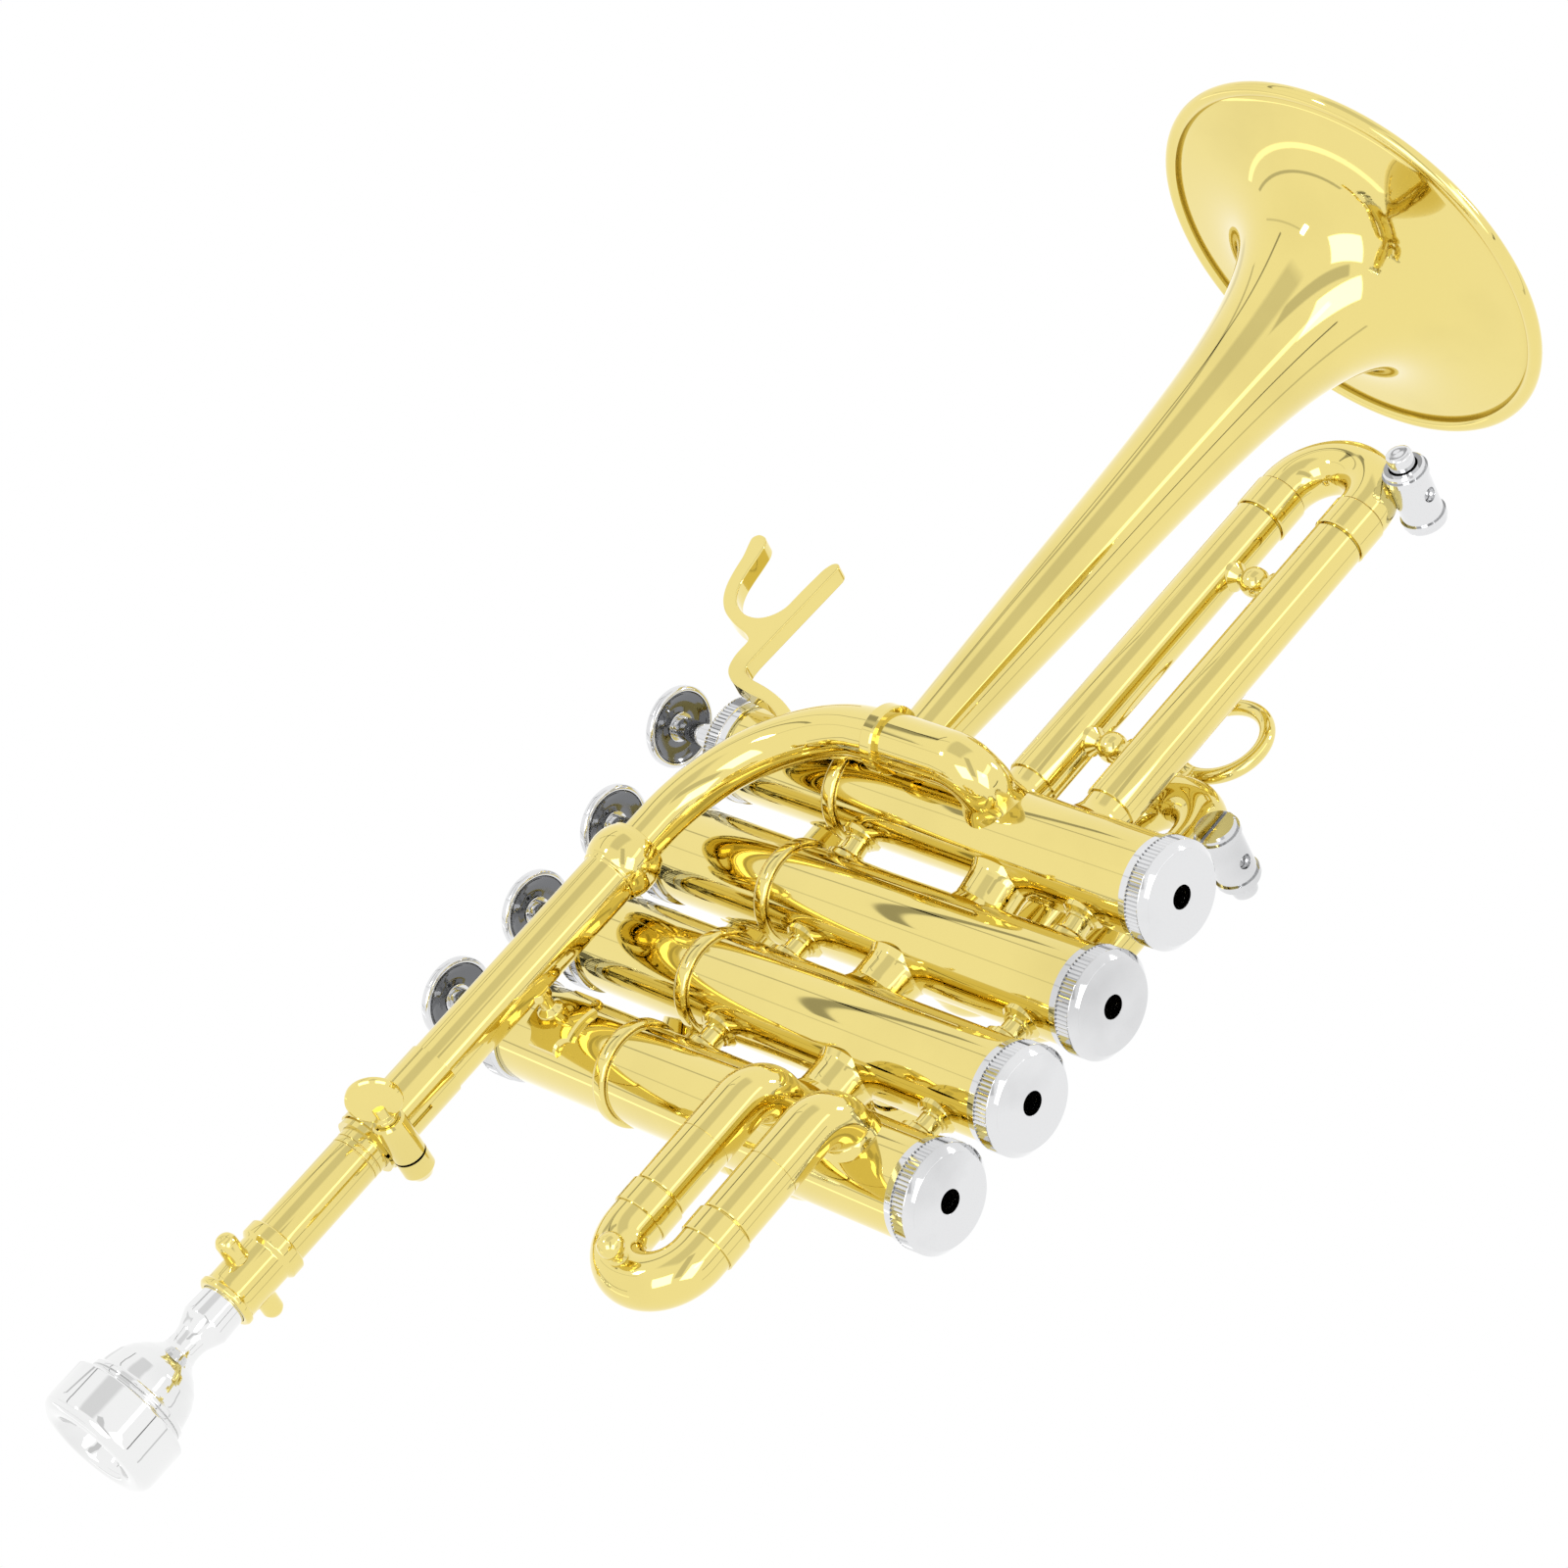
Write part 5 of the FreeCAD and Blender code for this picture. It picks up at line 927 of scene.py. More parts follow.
@dataclass
class Mouthpipe:
    """Mouthpiece, receiver, pull tube, clamp, fixed pipe, crook and elbow."""

    y: float = -19.0
    z: float = 112.1
    crook_x: float = 44.0
    bend: float = 34.0
    leg_y: float = -24.3
    leg_foot: float = 71.5
    elbow_x: float = 78.011
    elbow_bend: float = 7.1
    port: float = 47.0
    screw_x: float = -43.6
    screw_z: float = 103.6
    tab_y: float = -33.0
    ball: float = 7.8
    ball_x: float = 33.6

    def build(self, shop: Workshop) -> None:
        """Build the whole line from the mouthpiece to the fourth valve.

        Args:
            shop: the workshop.
        """
        self._mouthpiece(shop)
        self._pull(shop)
        self._clamp(shop)
        self._pipe(shop)
        self._crook(shop)

    def _mouthpiece(self, shop: Workshop) -> None:
        """The silver mouthpiece.

        Args:
            shop: the workshop.
        """
        outline = [
            (10.0, -128.0), (11.6, -127.9), (12.7, -127.2), (13.25, -126.2), (13.4, -124.8),
            (13.4, -117.3), (13.2, -117.0), (11.1, -116.6), (10.7, -116.2), (10.7, -115.5),
            (11.0, -115.3), (11.0, -114.4), (10.6, -114.2), (10.4, -113.6), (10.0, -111.8),
            (9.4, -109.6), (8.2, -107.4), (6.6, -105.6), (5.1, -104.3), (4.0, -103.2), (3.5, -101.9),
            (3.4, -100.4), (3.7, -98.6), (4.6, -96.6), (5.2, -95.2),
            (5.2, -94.6), (4.97, -89.6), (4.3, -65.6), (3.6, -65.6), (1.85, -105.0),
            (1.85, -115.4), (2.6, -116.6), (4.6, -118.2), (6.0, -120.0), (7.1, -122.6),
            (7.9, -125.6), (8.4, -127.1), (9.0, -127.75),
        ]
        mesh = Mesh()
        mesh.turn(outline, (0.0, self.y, self.z), Axis.X, 112, 0.35)
        shop.add(mesh, "mouthpiece_shell", SILVER, Body.MOUTHPIECE.value, "mouthpiece")

    def _pull(self, shop: Workshop) -> None:
        """The receiver with its pegs, and the pull tube behind it.

        Args:
            shop: the workshop.
        """
        outline = [
            (5.05, -89.6), (5.9, -89.6), (6.4, -89.1), (6.4, -88.2), (5.95, -87.9), (5.8, -87.0),
            (5.8, -77.2), (6.2, -76.8), (6.7, -76.3), (6.7, -73.6), (6.3, -73.2), (5.7, -73.2),
            (5.7, -76.5), (4.9, -76.6),
        ]
        mesh = Mesh()
        mesh.turn(outline, (0.0, self.y, self.z), Axis.X, 80, 0.2)
        for side in (-1, 1):
            peg = [(SOLID, 5.3), (2.6, 5.3), (2.3, 6.3), (2.25, 10.3), (1.7, 11.3), (0.9, 11.5),
                   (SOLID, 11.5)]
            mesh.turn([(r, side * h) for r, h in peg], (-82.0, self.y, self.z), Axis.Y, 40, 0.3)
        shop.add(mesh, "receiver", BRASS, Body.PULL.value, "mouthpiece_receiver")
        tube = Mesh()
        outline = [(4.64, -76.5), (5.6, -76.5)]
        for x in (-51.0, -49.5):
            outline += [(5.6, x), (5.32, x + 0.05), (5.32, x + 0.35), (5.6, x + 0.4)]
        outline += [(5.6, -30.2), (4.64, -30.2)]
        tube.turn(outline, (0.0, self.y, self.z), Axis.X, 80, 0.06)
        shop.add(tube, "pull_tube", BRASS, Body.PULL.value, "mouthpipe_shank")

    def _clamp(self, shop: Workshop) -> None:
        """The screw's thumb tab; sleeve and collar keep their CAD shape.

        Args:
            shop: the workshop.
        """
        for node in ("mouthpipe_sleeve", "clamp_collar"):
            shop.dress(node, BRASS)
        screw = Mesh()
        at = (self.screw_x, 0.0, self.screw_z)
        rod = [(SOLID, -12.7), (1.4, -12.7), (1.4, -27.05), (2.4, -27.05), (2.4, -28.2), (1.6, -28.6),
               (1.6, -31.0), (SOLID, -31.0)]
        screw.turn(rod, at, Axis.Y, 40, 0.12)
        middle = Vector((self.screw_x, self.tab_y, self.screw_z))
        normal = Vector((1, 0, 1)).normalized()
        disc = [middle + normal * h for h in (-0.8, -0.79, 0.79, 0.8)]
        outer = [(0.0, 5.1), (0.01, 5.3), (0.3, 5.7), (0.8, 5.8), (1.3, 5.7), (1.59, 5.3), (1.6, 5.1)]
        screw.tube(disc, outer, SOLID, 64)
        shop.add(screw, "thumb_screw", BRASS, Body.SCREW.value, "clamp_screw")

    def _pipe(self, shop: Workshop) -> None:
        """The fixed pipe with its ball collar.

        Args:
            shop: the workshop.
        """
        outline = [(4.3, -29.6), (5.6, -29.6), (5.6, -25.6), (6.0, -25.6), (6.0, 28.6), (6.5, 28.9)]
        outline += bulge(self.ball, (0.0, self.ball_x), -33, 66, 18)
        outline += [(6.4, 38.3), (5.9, 38.5), (4.85, 38.6), (4.85, self.ball_x), (4.3, self.ball_x)]
        mesh = Mesh()
        mesh.turn(outline, (0.0, self.y, self.z), Axis.X, 80, 0.15)
        shop.add(mesh, "pipe", BRASS, Body.FIXED.value, "mouthpipe")

    def _crook(self, shop: Workshop) -> None:
        """The growing crook and the elbow into the fourth casing.

        Args:
            shop: the workshop.
        """
        lean = math.atan((self.y - self.leg_y) / (self.z - self.leg_foot))
        down = Vector((0, -math.sin(lean), -math.cos(lean)))
        top = Vector((self.crook_x, self.y, self.z))
        centre = top + down * self.bend
        axis = (0, math.cos(lean), -math.sin(lean))
        path = [top - Vector((10.4, 0, 0)), top - Vector((5, 0, 0))]
        path += arc(tuple(centre), top, axis, 90.0, 64)
        foot = path[-1] + down * ((path[-1].z - self.leg_foot) / math.cos(lean))
        path.append(foot)
        total = length_of(path)
        mesh = Mesh()
        mesh.tube(path, [(0.0, 4.8), (10.4, 4.8), (total - 5.0, 5.8), (total, 5.8)], 4.1, 72)
        shop.add(mesh, "crook", BRASS, Body.FIXED.value, "mouthpipe_crook")
        x, y = self.elbow_x, self.leg_y
        start = Vector((x, y, self.leg_foot + 1.2))
        bend_z = self.port + self.elbow_bend
        path = [start, Vector((x, y, self.leg_foot - 1.8)), Vector((x, y, 60.0))]
        path += arc((x, y + self.elbow_bend, bend_z), Vector((x, y, bend_z)), (1, 0, 0), 90.0, 32)
        path.append(Vector((x, -12.0, self.port)))
        total = length_of(path)
        outer = [(0.0, 6.3), (0.0, 6.9), (0.4, 7.2), (2.9, 7.2), (3.3, 6.9), (3.4, 5.85),
                 (total - 5.2, 5.8), (total - 3.2, 6.3), (total - 1.5, 6.9), (total, 7.2)]
        mesh = Mesh()
        mesh.tube(path, outer, 4.9, 72)
        shop.add(mesh, "elbow", BRASS, Body.FIXED.value, "mouthpipe_elbow")


@dataclass(frozen=True)
class Flange:
    """A scalloped plate on a casing, by its heights, half width, radii, soft edge and notches."""

    low: float = 98.0
    high: float = 111.0
    half: float = 7.5
    inner: float = 10.42
    outer: float = 11.5
    edge: float = 0.45
    notch: float = 2.6
    notch_at: float = 6.93
    steps: int = 30


@dataclass
class Bell:
    """The bell, its crook, its elbow and the braces of both tubes."""

    y: float = 19.5
    z: float = 109.4
    wall: float = 0.8
    rim_x: float = 265.8
    rim: float = 49.1
    bead: float = 1.7
    tail: float = 42.0
    poles: list[Point] = field(default_factory=lambda: [
        (42.0, 5.8), (58.1, 6.2), (94.6, 5.85), (150.5, 9.0), (204.4, 10.4), (262.9, 17.3),
        (264.0, 42.1), (265.8, 49.4)])
    crook_x: float = 39.5
    bend: float = 36.0
    elbow_x: float = 3.5
    elbow_z: float = 55.5
    elbow_bend: float = 8.5
    flange: Flange = Flange()
    post_z: float = 107.0
    tube: float = 5.8
    bore: float = 5.1

    def build(self, shop: Workshop) -> None:
        """Build the bell and what leads to it.

        Args:
            shop: the workshop.
        """
        self._flare(shop)
        self._tail(shop)
        self._braces(shop)

    def _flare(self, shop: Workshop) -> None:
        """The flare with its rolled rim.

        Args:
            shop: the workshop.
        """
        outside = spline(self.poles, 150)
        inside = []
        for i, (x, r) in enumerate(outside):
            a, b = outside[max(i - 1, 0)], outside[min(i + 1, len(outside) - 1)]
            run = Vector((b[0] - a[0], b[1] - a[1])).normalized()
            inside.append((x + self.wall * run.y, r - self.wall * run.x))
        outline = [(r, x) for x, r in outside[:-4]]
        outline.append((self.rim - 1.25, self.rim_x + 0.15))
        outline += bulge(self.bead, (self.rim, self.rim_x), -145, 270, 14)
        outline += [(r, x) for x, r in reversed(inside[:-3])]
        mesh = Mesh()
        mesh.turn(outline, (0.0, self.y, self.z), Axis.X, 144, 0.0)
        shop.add(mesh, "bell_flare", BRASS, Body.FIXED.value, "bell")

    def _braces(self, shop: Workshop) -> None:
        """The two scalloped flanges, each with a turned post out to its tube.

        Args:
            shop: the workshop.
        """
        mesh = Mesh()
        for x, way, end in ((0.0, -1, 17.4), (51.6, 1, 16.6)):
            self._flange(mesh, x, way)
            post = [(SOLID, 11.2), (2.9, 11.2), (2.8, 11.8), (2.2, 12.2), (1.5, 12.7), (1.5, 14.9),
                    (2.2, 15.4), (2.2, end), (SOLID, end)]
            mesh.turn([(r, h * way) for r, h in post], (x, 0.0, self.post_z), Axis.Y, 40, 0.15)
        shop.add(mesh, "flange_braces", BRASS, Body.FIXED.value, "tube_braces")

    def _flange(self, mesh: Mesh, x: float, way: int) -> None:
        """A plate curved round a casing.

        Args:
            mesh: where the faces go.
            x: where the casing stands.
            way: 1 where the plate faces the far side, -1 where it faces the near side.
        """
        plate = self.flange
        rows = []
        for i in range(-plate.steps - 2, plate.steps + 3):
            beyond = max(0, abs(i) - plate.steps)
            across = plate.half * max(-plate.steps, min(plate.steps, i)) / plate.steps
            near = abs(across) - plate.notch_at
            cut = math.sqrt(plate.notch ** 2 - near ** 2) if abs(near) < plate.notch else 0.0
            lift = (1.0, 0.6, 0.0)[beyond]
            low, high = plate.low + cut, plate.high - cut
            shoulder = plate.outer - plate.edge
            row = []
            for radius, z in ((plate.inner, low), (shoulder, low), (plate.outer, low + plate.edge),
                              (plate.outer, high - plate.edge), (shoulder, high), (plate.inner, high)):
                size = plate.inner + (radius - plate.inner) * lift
                row.append(Vector((x + across, way * math.sqrt(size ** 2 - across ** 2), z)))
            rows.append(row)
        mesh.grid(rows, False)

    def _tail(self, shop: Workshop) -> None:
        """The crook behind the bell and the elbow into the first casing.

        Args:
            shop: the workshop.
        """
        path = [Vector((self.elbow_x, self.y, self.z - self.bend))]
        path = arc((self.crook_x, self.y, self.z - self.bend), path[0], (0, 1, 0), 90.0, 64)
        path.append(Vector((self.tail + 2.4, self.y, self.z)))
        total = length_of(path)
        outer = [(0.0, self.tube), (total - 5.2, self.tube), (total - 5.1, 6.3), (total - 4.7, 6.5),
                 (total - 0.3, 6.5), (total, 6.2)]
        mesh = Mesh()
        mesh.tube(path, outer, self.bore, 64)
        shop.add(mesh, "bell_bend", BRASS, Body.FIXED.value, "bell_crook")
        path = [Vector((self.elbow_x, self.y, self.z - self.bend)), Vector((self.elbow_x, self.y, 62.0))]
        path += arc((self.elbow_x, self.y - self.elbow_bend, self.elbow_z),
                    Vector((self.elbow_x, self.y, self.elbow_z)), (1, 0, 0), -90.0, 32)
        path.append(Vector((self.elbow_x, 9.0, self.elbow_z - self.elbow_bend)))
        total = length_of(path)
        outer = [(0.0, 6.3), (0.3, 6.5), (3.2, 6.5), (3.5, 5.85), (total - 4.0, self.tube), (total, 6.9)]
        mesh = Mesh()
        mesh.tube(path, outer, self.bore, 64)
        shop.add(mesh, "bell_foot", BRASS, Body.FIXED.value, "bell_elbow")


@dataclass
class Slides:
    """The four valve slides."""

    tube: float = 5.6
    bore: float = 5.1
    leg: float = 5.05
    leg_bore: float = 4.5
    ferrule: float = 6.0
    gap: float = 0.5
    flare: float = 0.9
    near: float = -19.0
    far: float = 19.0
    first: tuple[float, float] = (40.5, 22.0)
    first_end: float = -31.5
    second: tuple[float, float] = (60.5, 44.0)
    second_x: float = 25.8
    second_end: float = 13.6
    third: tuple[float, float] = (48.0, 29.5)
    third_x: float = 51.6
    third_end: float = 96.0
    ring_z: float = 42.1
    fourth: tuple[float, float] = (51.5, 30.3)
    fourth_y: float = -5.0
    fourth_start: float = 91.0
    fourth_end: float = 169.0
    fourth_tube: float = 5.7
    ball: float = 3.25

    def build(self, shop: Workshop) -> None:
        """Build all slides.

        Args:
            shop: the workshop.
        """
        self._first(shop)
        self._second(shop)
        self._third(shop)
        self._fourth(shop)

    def _bow(self, mesh: Mesh, ends: tuple[Vector, Vector], out: Vector, side: Spot, turn: float,
             centre: Spot, insert: float, sleeve: float, radius: float) -> None:
        """A sliding bow between two legs.

        Args:
            mesh: where the faces go.
            ends: the open ends of the upper and the lower leg, at the ferrules.
            out: the direction that the slide pulls.
            side: the axis of the bow.
            turn: how far and which way the bow turns.
            centre: the bow's centre.
            insert: how far the inner legs reach into the fixed tubes.
            sleeve: the length of the ferrules.
            radius: the radius of the bow's tube.
        """
        reach = (Vector(centre) - ends[0]).dot(out)
        top = ends[0] + out * reach
        path = [ends[0], ends[0] + out * min(sleeve + 0.3, reach * 0.98)]
        path += arc(centre, top, side, turn, 56)
        path += [ends[1] + out * min(sleeve + 0.3, reach * 0.98), ends[1]]
        total = length_of(path)
        f, r = self.ferrule, radius
        outer = [(0.0, f - 0.25), (0.25, f), (sleeve - 0.2, f), (sleeve, f - 0.15),
                 (sleeve, r - 0.12), (sleeve + 0.2, r - 0.12), (sleeve + 0.25, r),
                 (total - sleeve - 0.25, r), (total - sleeve - 0.2, r - 0.12),
                 (total - sleeve, r - 0.12), (total - sleeve, f - 0.15), (total - sleeve + 0.2, f),
                 (total - 0.25, f), (total, f - 0.25)]
        mesh.tube(path, outer, self.leg_bore, 64)
        for end in ends:
            inner = [end + out * 1.0, end, end - out * insert]
            length = insert + 1.0
            mesh.tube(inner, [(0.0, self.leg), (length, self.leg)], self.leg_bore, 48)

    def _leg(self, mesh: Mesh, path: list[Vector], flare: float,
             joints: tuple[float, ...] = ()) -> None:
        """A fixed tube along a path, flared where it meets the casing.

        Args:
            mesh: where the faces go.
            path: the centre line.
            flare: how much wider the end at the casing is.
            joints: distances along the path that have a fine groove.
        """
        total = length_of(path)
        outer = [(0.0, self.tube + flare), (1.6, self.tube + flare * 0.5), (2.6, self.tube + 0.05),
                 (3.2, self.tube)]
        for place in joints:
            outer += [(place, self.tube), (place + 0.02, self.tube - 0.12),
                      (place + 0.22, self.tube - 0.12), (place + 0.24, self.tube)]
        outer += [(total - 0.2, self.tube), (total, self.tube - 0.15)]
        mesh.tube(path, outer, self.bore, 64)

    def _first(self, shop: Workshop) -> None:
        """The first slide, on the near side.

        Args:
            shop: the workshop.
        """
        legs = Mesh()
        ends = []
        for z in self.first:
            path = [Vector((0, -9.4, z))]
            path += arc((-7.5, -11.5, z), Vector((0, -11.5, z)), (0, 0, 1), -90.0, 32)
            path += [Vector((-18.0, self.near, z)), Vector((self.first_end, self.near, z))]
            self._leg(legs, path, self.flare, (24.2,))
            ends.append(Vector((self.first_end - self.gap, self.near, z)))
        shop.add(legs, "first_legs", BRASS, Body.FIXED.value, "first_slide_tubes")
        bow = Mesh()
        self._bow(bow, (ends[0], ends[1]), Vector((-1, 0, 0)), (0, 1, 0), -180.0,
                  (-39.9, self.near, sum(self.first) / 2), 13.0, 5.6, self.tube)
        at = (-49.15, self.near, 32.0)
        knob = [(SOLID, -4.9), (1.9, -4.9), (1.9, -5.8), (1.3, -6.2), (1.3, -6.9)]
        knob += bulge(2.7, (0.0, -9.4), 60, -148, 12)
        knob.append((SOLID, -12.1))
        bow.turn(knob, at, Axis.Y, 40, 0.0)
        shop.add(bow, "first_bow", BRASS, Body.FIRST.value, "first_slide")

    def _second(self, shop: Workshop) -> None:
        """The second slide, on the far side.

        Args:
            shop: the workshop.
        """
        legs = Mesh()
        ends = []
        for z in self.second:
            path = [Vector((self.second_x, y, z)) for y in (9.2, self.second_end)]
            self._leg(legs, path, 0.6)
            ends.append(Vector((self.second_x, self.second_end + self.gap, z)))
        shop.add(legs, "second_legs", BRASS, Body.FIXED.value, "second_slide_tubes")
        bow = Mesh()
        self._bow(bow, (ends[0], ends[1]), Vector((0, 1, 0)), (1, 0, 0), -180.0,
                  (self.second_x, 16.2, sum(self.second) / 2), 3.2, 1.8, self.tube)
        shop.add(bow, "second_bow", BRASS, Body.SECOND.value, "second_slide")

    def _third(self, shop: Workshop) -> None:
        """The third slide with its finger ring, on the far side.

        Args:
            shop: the workshop.
        """
        legs = Mesh()
        ends = []
        for z in self.third:
            path = [Vector((self.third_x, 9.4, z))]
            path += arc((59.6, 11.0, z), Vector((self.third_x, 11.0, z)), (0, 0, 1), -90.0, 32)
            path += [Vector((72.0, self.far, z)), Vector((self.third_end, self.far, z))]
            self._leg(legs, path, self.flare, (25.0,))
            ends.append(Vector((self.third_end + self.gap, self.far, z)))
        shop.add(legs, "third_legs", BRASS, Body.FIXED.value, "third_slide_tubes")
        bow = Mesh()
        self._bow(bow, (ends[0], ends[1]), Vector((1, 0, 0)), (0, 1, 0), 180.0,
                  (104.0, self.far, sum(self.third) / 2), 20.0, 5.4, self.tube)
        shop.add(bow, "third_bow", BRASS, Body.THIRD.value, "third_slide")
        ring = Mesh()
        centre = Vector((130.4, self.far, self.ring_z))
        loop = arc(tuple(centre), centre + Vector((-9.8, 0, 0)), (0, 1, 0), 360.0, 96)
        total = length_of(loop)
        ring.tube(loop, [(0.0, 1.7), (total, 1.7)], SOLID, 32)
        post = [Vector((x, self.far, self.ring_z)) for x in (117.6, 119.0, 121.4)]
        ring.tube(post, [(0.0, 2.6), (0.9, 2.3), (2.2, 1.8), (3.8, 1.7)], SOLID, 32)
        shop.add(ring, "ring_of_third", BRASS, Body.THIRD.value, "finger_ring")

    def _fourth(self, shop: Workshop) -> None:
        """The fourth slide with its ball braces.

        Args:
            shop: the workshop.
        """
        legs = Mesh()
        ends = []
        for z in self.fourth:
            stub = [Vector((x, self.fourth_y, z)) for x in (85.6, self.fourth_start + 0.1)]
            legs.tube(stub, [(0.0, 6.4), (1.2, 5.8), (2.4, 5.3), (5.5, 5.2)], self.bore, 64)
            tube = [Vector((x, self.fourth_y, z)) for x in (self.fourth_start, 130.0, self.fourth_end)]
            legs.tube(tube, [(0.0, 5.3), (0.0, 5.6), (0.2, self.fourth_tube),
                             (77.8, self.fourth_tube), (78.0, 5.55)], self.bore, 72)
            ends.append(Vector((self.fourth_end + self.gap, self.fourth_y, z)))
        shop.add(legs, "fourth_legs", BRASS, Body.FIXED.value, "fourth_slide_tubes")
        bow = Mesh()
        self._bow(bow, (ends[0], ends[1]), Vector((1, 0, 0)), (0, 1, 0), 180.0,
                  (178.0, self.fourth_y, sum(self.fourth) / 2), 40.0, 7.4, self.fourth_tube)
        shop.add(bow, "fourth_bow", BRASS, Body.FOURTH.value, "fourth_slide")
        braces = Mesh()
        for x in (105.0, 154.0):
            outline = [(SOLID, -6.0), (3.4, -6.0), (3.1, -4.9), (2.2, -4.2), (1.55, -3.6)]
            outline += bulge(self.ball, (0.0, 0.0), -61, 122, 16)
            outline += [(1.55, 3.6), (2.2, 4.2), (3.1, 4.9), (3.4, 6.0), (SOLID, 6.0)]
            braces.turn(outline, (x, self.fourth_y, sum(self.fourth) / 2), Axis.Z, 48, 0.0)
        shop.add(braces, "ball_braces", BRASS, Body.FIXED.value, "fourth_slide_braces")


@dataclass
class WaterKeys:
    """The two side water keys, by the middle of each axis."""

    first: Spot = (187.2, -5.0, 23.6)
    second: Spot = (104.5, 19.0, 20.0)

    def build(self, shop: Workshop) -> None:
        """Build both keys."""
        self._key(shop, 1, self.first, 1, Body.KEY_ONE)
        self._key(shop, 2, self.second, -1, Body.KEY_TWO)

    @staticmethod
    def _key(shop: Workshop, number: int, at: Spot, way: int, inner: Body) -> None:
        """One key.

        Args:
            shop: the workshop.
            number: its number.
            at: the middle of its axis.
            way: 1 where its button faces the near side, -1 where it faces the far side.
            inner: the plunger's body.
        """
        shop.dress(f"water_key_{number}", NICKEL)
        plunger = Mesh()
        outline = [(SOLID, -10.5), (2.2, -10.5), (2.7, -10.2), (2.8, -9.7), (2.8, -6.0), (1.5, -6.0),
                   (1.5, -1.5), (3.1, -1.5), (3.1, 1.5), (1.5, 1.5), (1.5, 4.2), (SOLID, 4.2)]
        plunger.turn([(r, h * way) for r, h in outline], at, Axis.Y, 48, 0.15)
        shop.add(plunger, f"key_plunger_{number}", NICKEL, inner.value, f"water_key_plunger_{number}")


@dataclass
class FingerHook:
    """The flat forked finger hook."""

    y: float = -19.0
    thickness: float = 3.8
    edge: float = 0.95
    outline: list[Point] = field(default_factory=lambda: [
        (75.0, 101.5), (78.2, 100.4), (81.2, 106.7), (82.9, 112.8), (83.8, 119.2), (85.4, 122.2),
        (88.6, 122.6), (116.6, 121.6), (118.0, 122.6), (117.6, 124.0), (115.6, 125.0),
        (108.2, 125.6), (103.1, 125.7), (100.3, 127.4), (98.6, 130.1), (98.4, 133.9),
        (100.1, 137.7), (102.6, 140.3), (105.7, 141.9), (109.3, 142.8), (113.7, 143.6),
        (117.2, 144.4), (119.2, 146.0), (119.4, 148.4), (118.0, 149.5), (115.6, 148.6),
        (112.8, 147.4), (108.4, 146.4), (104.2, 145.0), (100.7, 142.9), (97.7, 139.6),
        (95.4, 134.4), (94.2, 129.8), (92.8, 127.4), (88.2, 127.7), (84.0, 126.4), (81.3, 122.4),
        (80.2, 116.2), (79.8, 111.4), (78.4, 107.2)])

    def build(self, shop: Workshop) -> None:
        """Build the hook with softened edges.

        Args:
            shop: the workshop.
        """
        points = rounded(rounded(self.outline, 3.0, 3), 1.0, 2)
        work = bmesh.new()
        rim = [work.verts.new((x * MM, (self.y - self.thickness / 2) * MM, z * MM)) for x, z in points]
        face = work.faces.new(rim)
        made = bmesh.ops.extrude_face_region(work, geom=[face])
        moved = [v for v in made["geom"] if isinstance(v, bmesh.types.BMVert)]
        bmesh.ops.translate(work, verts=moved, vec=(0, self.thickness * MM, 0))
        bmesh.ops.recalc_face_normals(work, faces=work.faces)
        data = bpy.data.meshes.new("hook")
        work.to_mesh(data)
        work.free()
        data.shade_smooth()
        piece = bpy.data.objects.new("hook", data)
        bpy.context.scene.collection.objects.link(piece)
        bevel = piece.modifiers.new("edge", "BEVEL")
        bevel.width = self.edge * MM
        bevel.segments = 4
        bevel.limit_method = "ANGLE"
        bevel.angle_limit = math.radians(50)
        bevel.harden_normals = True
        shop.finish(piece, BRASS, Body.FIXED.value, ("finger_hook",))


# Stage


@dataclass(frozen=True)
class Panel:
    """A brighter or dimmer rectangle of the light tent.

    Its centre is given along the photograph's right, down and forward directions, its half
    width, half height, roll and soft edge in degrees.
    """

    towards: Spot
    wide: float
    tall: float
    soft: float
    gain: float
    roll: float = 0.0


@dataclass(frozen=True)
class Lamp:
    """A soft rectangle of light, in metres to the right of, above and behind the target."""

    name: str
    side: float
    height: float
    depth: float
    power: float
    size: float = 0.18


